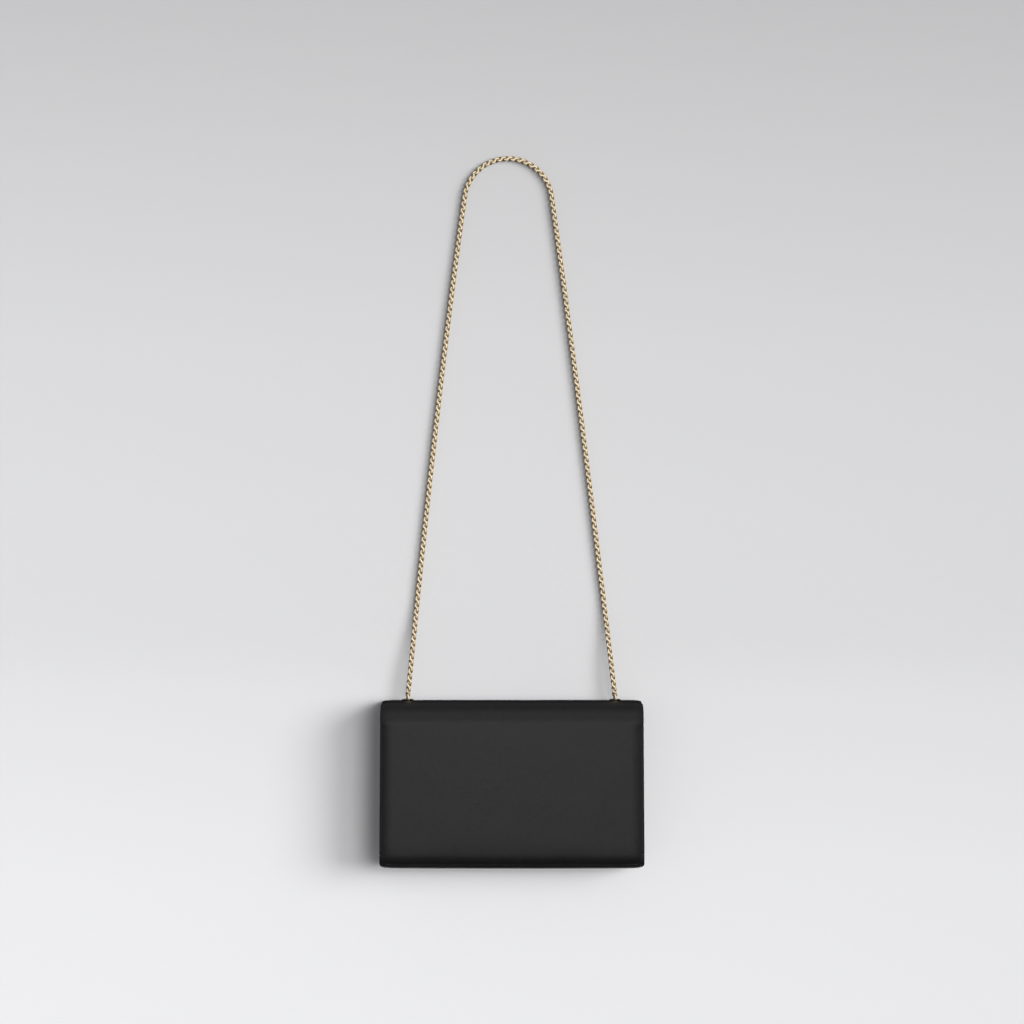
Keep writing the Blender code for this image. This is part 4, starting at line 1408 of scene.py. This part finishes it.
bore, tube, flange = 0.0034, 0.0039, 0.0055
lip, washer_hole, washer_rim = 0.0049, 0.0041, 0.0055
washer_low, washer_high = -0.0047, -0.0039
eyelet_profile = rounded([
    (bore, -0.0056), (bore, 0.0007), (bore + 0.0005, 0.0011), (flange - 0.0006, 0.0011), (flange, 0.0006),
    (flange - 0.0001, 0.00025), (tube, 0.00025), (tube, -0.00485), (lip, -0.0050), (lip, -0.0055),
], 0.00022)
washer_profile = rounded([
    (washer_hole, washer_low), (washer_rim, washer_low),
    (washer_rim, washer_high), (washer_hole, washer_high),
], 0.0002)
for side, name in both_ends:
    for part, profile in (("eyelet", eyelet_profile), ("eyelet_washer", washer_profile)):
        made = turned(f"{part}_{name}_turned", profile, (side * eyelet_x, eyelet_y, 0), bronze)
        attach(made, "bag")
        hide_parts(f"{part}_{name}")
print("eyelets and washers turned")

# %% [markdown]
# The D-ring is a bent wire. Its straight bar lies in the fold of a leather tab, the
# chape, which a rivet holds to the back wall.


# %% D-rings
def swept_wire(name, points, radius, material, sides=14):
    """A closed loop of round wire along a closed line of points."""
    line = np.array([tuple(p) for p in points])
    tangent = np.roll(line, -1, axis=0) - np.roll(line, 1, axis=0)
    tangent /= np.linalg.norm(tangent, axis=1, keepdims=True)
    middle = line.mean(axis=0)
    side = line - middle
    side -= tangent * (side * tangent).sum(axis=1, keepdims=True)
    side /= np.linalg.norm(side, axis=1, keepdims=True)
    other = np.cross(tangent, side)
    angles = np.linspace(0, 2 * math.pi, sides, endpoint=False)
    verts = line[:, None] + radius * (
        side[:, None] * np.cos(angles)[None, :, None] + other[:, None] * np.sin(angles)[None, :, None]
    )
    verts = verts.reshape(-1, 3) + np.array(crest)
    return mesh_object(name, verts, tube_faces(len(line), sides), material)


strap = 0.0012
clearance = 0.0003
ring_inside = 0.0110
ring_half = (ring_inside + ring_wire) / 2
ring_height = 0.0100
ring_top = pivot_height - inner_pitch * (inner_links + 2)
bar_y = half_depth - wall - clearance - strap - clearance - ring_wire / 2
bar_z = ring_top - math.sqrt(ring_height ** 2 - (bar_y - eyelet_y) ** 2)


def ring_points(x, corner=0.0016):
    """The D: a straight bar below, short sides and a half-round top."""
    flat = []
    for k in range(25):
        a = math.pi * k / 24
        flat.append((ring_half * math.cos(a), ring_height - ring_half + ring_half * math.sin(a)))
    for centre, start in ((-ring_half + corner, math.pi), (ring_half - corner, 1.5 * math.pi)):
        for k in range(7):
            a = start + math.pi / 2 * k / 6
            flat.append((centre + corner * math.cos(a), corner + corner * math.sin(a)))
    foot, head = Vector((x, bar_y, bar_z)), Vector((x, eyelet_y, ring_top))
    up = (head - foot) / ring_height
    return [foot + Vector((across, 0, 0)) + up * rise for across, rise in flat]


for side, name in both_ends:
    made = swept_wire(f"d_ring_{name}_wire", ring_points(side * eyelet_x), ring_wire / 2, gold)
    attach(made, "bag")
    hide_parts("d_ring_" + name)
print("d-rings bent")

# %% Chapes and rivets
loop_radius = ring_wire / 2 + clearance + strap
rear_face = bar_y + loop_radius
front_face = rear_face - 2 * strap - clearance
chape_drop = 0.0260
chape_low = bar_z - chape_drop
chape_half = 0.00475
closing_drop = 0.0075
closing = front_face - (bar_y - loop_radius)
chape_points = [(rear_face, chape_low, 1, 0)] + arc(bar_y, bar_z, loop_radius, 0, math.pi, steps=24)
for k in range(1, 13):
    t = k / 12
    y = bar_y - loop_radius + closing * t * t * (3 - 2 * t)
    slope = 6 * t * (1 - t) * closing / closing_drop
    chape_points.append((y, bar_z - closing_drop * t, -1, -slope))
chape_points.append((front_face, chape_low, -1, 0))
chape_route = Route(chape_points)


def chape_width_at(s):
    end = np.minimum(s, chape_route.length - s)
    return chape_half - corner_cut(end, 0.0030)


def chape_depths(s, x, side_gap, end_gap):
    return 0.00018 * np.clip(1 - side_gap / 0.0012, 0, 1) ** 2, np.full_like(x, strap)


rivet_z = chape_low + 0.0080
shank, clench = 0.0015, 0.0026
dome = [(1e-5, 0.0012), (0.0012, 0.00115), (0.0023, 0.0010), (0.0032, 0.0007), (0.0038, 0.0003)]
rivet_profile = dome + [
    (0.0040, 0.0), (0.0037, -0.0001), (shank, -0.0001), (shank, -0.0056),
    (clench, -0.0058), (clench, -0.0061), (1e-5, -0.0061),
]
for side, name in both_ends:
    made = loft(
        f"chape_{name}_strap", chape_route, chape_width_at, chape_depths, skin,
        spacing=0.0008, rim=0.0004, columns=0.0012,
    )
    made.data.transform(Matrix.Translation(crest - skin_middle + Vector((side * eyelet_x, 0, 0))))
    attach(made, "bag")
    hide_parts("chape_" + name)
    profile = [(radius, -height) for radius, height in rivet_profile]
    place = (side * eyelet_x, front_face, rivet_z)
    made = turned(f"rivet_{name}_domed", profile, place, gold, axis="Y", sides=32)
    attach(made, "bag")
    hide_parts("rivet_" + name)
print("chapes folded, rivets set")

# %% [markdown]
# ## Stitches
# The seams are sewn with a waxed thread. A geometry node tree walks along each seam and
# puts a stitch at every step: a short, slightly fat capsule that slants across the line.
# The path points lie on the surface, just high enough for the thread to sink halfway.


# %% The stitch tree
def make_stitch_tree():
    tree, given, result = open_tree("seam_stitches", [
        ("Path", "Geometry", None), ("Step", "Float", 0.0030), ("Stitch Length", "Float", 0.0022),
        ("Thread", "Float", 0.0005), ("Slant", "Float", 0.10), ("Unevenness", "Float", 0.05),
        ("Seed", "Int", 7), ("Material", "Material", None),
    ])
    curve = add(tree, "GeometryNodeMeshToCurve", {"Mesh": given["Path"]}).outputs[0]
    points = add(tree, "GeometryNodeCurveToPoints", {
        "Curve": curve, "Length": given["Step"],
    }, mode="LENGTH").outputs
    facing = add(tree, "FunctionNodeAlignRotationToVector", {"Vector": points["Tangent"]}, axis="Z")
    wobble = add(tree, "FunctionNodeRandomValue", {"Seed": given["Seed"]}, data_type="FLOAT")
    numbers = [socket for socket in wobble.inputs if socket.enabled and socket.type == "VALUE"]
    feed(tree, numbers[0], times(tree, given["Unevenness"], -1.0))
    feed(tree, numbers[1], given["Unevenness"])
    drawn = [socket for socket in wobble.outputs if socket.enabled][0]
    turn = add(tree, "FunctionNodeAxisAngleToRotation", {
        "Axis": (0.0, 1.0, 0.0), "Angle": plus(tree, given["Slant"], drawn),
    })
    aimed = add(tree, "FunctionNodeRotateRotation", {
        0: facing.outputs[0], 1: turn.outputs[0],
    }, rotation_space="LOCAL")
    bead = add(tree, "GeometryNodeMeshUVSphere", {"Segments": 6, "Rings": 5, "Radius": 0.5})
    size = add(tree, "ShaderNodeCombineXYZ", {
        0: given["Thread"], 1: given["Thread"], 2: given["Stitch Length"],
    })
    placed = add(tree, "GeometryNodeInstanceOnPoints", {
        "Points": points["Points"], "Instance": bead.outputs["Mesh"],
        "Rotation": aimed.outputs[0], "Scale": size.outputs[0],
    })
    end_tree(tree, placed, given["Material"], result)
    return tree


stitch_tree = make_stitch_tree()
print("stitch tree with", len(stitch_tree.nodes), "nodes")


# %% Seams on the surface
def seam_on(route, half_at, depths, s_values, side_inset=None, x_values=None, lift=0.00008):
    """Points on a lofted panel's outer face, down a side or across the width."""
    s = np.array(s_values, float)
    half = half_at(s)
    x = half - side_inset if x_values is None else np.array(x_values, float)
    side = np.sign(x) if x_values is not None else 1.0
    end = np.minimum(s, route.length - s)
    outer, _ = depths(s, np.abs(x) * side, half - np.abs(x), end)
    y, z, out_y, out_z = route.at(s)
    return np.stack([x, y - out_y * (outer - lift), z - out_z * (outer - lift)], axis=-1)


def both_sides(points):
    mirrored = points.copy()
    mirrored[:, 0] *= -1
    return [points, mirrored]


def sew(name, seams, step, length, thickness, seed):
    """Stitches along seams that are given as points in the bag's frame."""
    paths = [[Vector(point) + crest for point in points] for points in seams]
    return run_tree(name, stitch_tree, paths, {
        "Step": step, "Stitch Length": length, "Thread": thickness,
        "Slant": stitch_slant, "Unevenness": stitch_unevenness, "Seed": seed, "Material": thread,
    })


stitch_slant, stitch_unevenness = 0.10, 0.04
seam_inset = 0.0032
panels = (
    (wrap_route, wrap_half, wrap_depths, 0.004, 0.142, 90),
    (base_route, base_half, base_depths, 0.0015, base_route.length - 0.0015, 60),
    (front_route, front_half, front_depths, 0.003, front_rise - 0.001, 70),
)
seams = []
for route, half_at, depths, low, high, count in panels:
    seams += both_sides(seam_on(route, half_at, depths, np.linspace(low, high, count), seam_inset))
mouth_margin, mouth_seam_drop, mouth_points = 0.005, 0.004, 100
mouth_x = np.linspace(-half_width + mouth_margin, half_width - mouth_margin, mouth_points)
mouth_s = np.full(mouth_points, front_rise - mouth_seam_drop)
seams.append(seam_on(front_route, front_half, front_depths, mouth_s, x_values=mouth_x))
stitches = sew("body_stitches", seams, 0.0031, 0.0023, 0.00052, seed=7)
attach(stitches, "bag")
print("body_stitches", len(stitches.data.polygons), "faces")

# %% Stitches on tabs and pocket
small_seams = []
for side in (-1, 1):
    for across in (-0.0034, 0.0034):
        x = side * eyelet_x + across
        heights = np.linspace(chape_low + 0.0020, bar_z - 0.0085, 12)
        small_seams.append([(x, front_face - 0.00006, z) for z in heights])
on_cloth, on_hem = np.array((0, -0.0003, 0)), np.array((0, -0.00052, 0))
small_seams += [grid[2:-3, column] + on_cloth for column in (4, -5)]
small_seams += [grid[-4, 4:-4] + on_cloth, grid[6, 3:-3] + on_hem]
small = sew("tab_and_pocket_stitches", small_seams, 0.0022, 0.0016, 0.00038, seed=11)
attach(small, "bag")
print("tab_and_pocket_stitches", len(small.data.polygons), "faces")

# %% [markdown]
# ## The wall
# The bag hangs against a pale wall, so close behind it that its shadow is soft only at
# the far edge. Above the bag it comes forward until it almost touches the chain, whose
# shadow is a thin line. The wall is a little darker towards the top and the right, a painted
# falloff of the light written into its colour, because the lamps light it evenly. Seen from
# behind, the wall is clear, and so it is for rays that leave the bag's back, so the back can be looked at.
# Where something stands behind it, as the bag does when it swings back, it clears too.


# %% The wall
wall_low_z, wall_span_z = -0.797, 0.95
# Painted light falloff: the wall's colour by height, darker towards the top.
wall_falloff_levels = (
    (0.0, 0.795), (0.14, 0.781), (0.33, 0.721), (0.42, 0.680),
    (0.5, 0.677), (0.66, 0.653), (0.83, 0.594), (1.0, 0.52),
)
wall_tint = (0.999, 0.999, 1.011)
wall_falloff_tilt = -0.065
touching = 0.004
room_wanted = (0.91, 0.99)


def make_wall_material():
    made, tree, shader = new_material("pale_wall")
    place = object_place(tree)
    axes = add(tree, "ShaderNodeSeparateXYZ", {0: place})
    height = times_plus(tree, axes.outputs["Z"], 1.0 / wall_span_z, -wall_low_z / wall_span_z, clamp=True)
    # The ramp and the tilt paint the falloff of the light into the wall's colour.
    ramp = add(tree, "ShaderNodeValToRGB", {"Fac": height})
    while len(ramp.color_ramp.elements) < len(wall_falloff_levels):
        ramp.color_ramp.elements.new(0.5)
    for element, (position, level) in zip(ramp.color_ramp.elements, wall_falloff_levels):
        element.position = position
        element.color = (*(level * tint for tint in wall_tint), 1)
    tilt = times_plus(tree, axes.outputs["X"], wall_falloff_tilt, 1.0)
    plaster = noise(tree, place, 90.0, 6.0).outputs["Fac"]
    tone = times(tree, times_plus(tree, plaster, 0.01, 0.995), tilt)
    shaded = add(tree, "ShaderNodeVectorMath", {0: ramp.outputs["Color"], "Scale": tone}, operation="SCALE")
    finish_surface(tree, shader, shaded.outputs[0], 0.9, plaster, 0.0002, 0.15)
    shader.inputs["Specular IOR Level"].default_value = 0.0
    rays = add(tree, "ShaderNodeLightPath").outputs
    short = maths(tree, "LESS_THAN", rays["Ray Length"], touching)
    not_seen = minus(tree, 1.0, rays["Is Camera Ray"])
    from_behind = add(tree, "ShaderNodeNewGeometry").outputs["Backfacing"]
    clear = maths(tree, "MAXIMUM", times(tree, short, not_seen), from_behind)
    room = add(tree, "ShaderNodeAmbientOcclusion", {"Distance": 0.5}, inside=True, samples=12)
    covered = spread(tree, room.outputs["AO"], *room_wanted, 1.0, 0.0)
    clear = maths(tree, "MAXIMUM", clear, covered)
    glass = add(tree, "ShaderNodeBsdfTransparent")
    both = add(tree, "ShaderNodeMixShader", {0: clear, 1: shader.outputs[0], 2: glass.outputs[0]})
    tree.links.new(both.outputs[0], tree.nodes["Material Output"].inputs["Surface"])
    return made


wall_y = crest.y + half_depth + 0.0006
chain_gap = 0.0032
bend_low_z, bend_height, bend_steps = -0.49, 0.09, 14
rows = [(-2.0, wall_y)]
for k in range(bend_steps + 1):
    share = k / bend_steps
    forward = (wall_y - chain_gap) * (1 - soft_step(share))
    rows.append((bend_low_z + bend_height * k / bend_steps, chain_gap + forward))
rows.append((2.5, chain_gap))
sheet = bpy.data.meshes.new("wall")
sheet.from_pydata(
    [(x, y, z) for z, y in rows for x in (-4, 4)], [],
    [(2 * k, 2 * k + 1, 2 * k + 3, 2 * k + 2) for k in range(len(rows) - 1)],
)
sheet.polygons.foreach_set("use_smooth", [True] * len(sheet.polygons))
sheet.materials.append(make_wall_material())
wall_sheet = bpy.data.objects.new("wall", sheet)
wall_sheet.visible_glossy = False
bpy.context.scene.collection.objects.link(wall_sheet)
print("wall at y", round(wall_y, 4), "faces", [round(v) for v in sheet.polygons[0].normal])


# %% Lamps and world
def sun(name, azimuth, elevation, strength, spread_angle):
    """A sun whose light comes from the right of the wall's normal by azimuth."""
    data = bpy.data.lights.new(name, "SUN")
    data.energy = strength
    data.angle = math.radians(spread_angle)
    obj = bpy.data.objects.new(name, data)
    a, e = math.radians(azimuth), math.radians(elevation)
    towards = Vector((math.sin(a) * math.cos(e), -math.cos(a) * math.cos(e), math.sin(e)))
    obj.rotation_euler = towards.to_track_quat("Z", "Y").to_euler()
    obj.visible_glossy = False
    bpy.context.scene.collection.objects.link(obj)
    return obj


def softbox(name, place, size_x, size_y, level, target, reflect_only=True):
    """An area lamp aimed at a target; level is its radiance."""
    data = bpy.data.lights.new(name, "AREA")
    data.shape = "RECTANGLE"
    data.size, data.size_y = size_x, size_y
    data.energy = level * math.pi * size_x * size_y
    obj = bpy.data.objects.new(name, data)
    obj.location = place
    obj.rotation_euler = (Vector(place) - Vector(target)).to_track_quat("Z", "Y").to_euler()
    obj.visible_diffuse = not reflect_only
    obj.visible_camera = False
    bpy.context.scene.collection.objects.link(obj)
    return obj


bag_middle = crest - Vector((0, 0, body_height / 2))
lamps = [
    sun("sun_near", 22, 5, 1.25, 28),
    sun("sun_wide", 52, 10, 2.2, 30),
    softbox("front_box", (0, -2.9, -0.45), 1.9, 1.2, 2.0, (0, 0, -0.45)),
    softbox("top_box", (0, -1.3, 1.0), 2.4, 1.8, 0.6, bag_middle),
    softbox("back_box", (0, 2.4, -1.3), 3.2, 1.6, 1.6, bag_middle, reflect_only=False),
]
world = bpy.data.worlds.new("room")
bpy.context.scene.world = world
world.use_nodes = True
sky = world.node_tree
background = sky.nodes["Background"]
path = add(sky, "ShaderNodeLightPath")
way = add(sky, "ShaderNodeSeparateXYZ", {0: add(sky, "ShaderNodeTexCoord").outputs["Generated"]})
in_front = spread(sky, way.outputs["Y"], 0.6, 0.92, 1.0, 0.08)
above = spread(sky, way.outputs["Z"], -0.85, -0.3, 0.3, 1.0)
room = times(sky, in_front, above)
mirrored = blend_colours(sky, room, (0.0, 0.0, 0.0), (0.25, 0.25, 0.255))
seen = blend_colours(sky, path.outputs["Is Glossy Ray"], (0.27, 0.27, 0.275), mirrored)
seen = blend_colours(sky, path.outputs["Is Camera Ray"], seen, (0.80, 0.80, 0.805))
sky.links.new(seen, background.inputs["Color"])
bpy.context.scene.view_settings.view_transform = "Standard"
print("stage set")
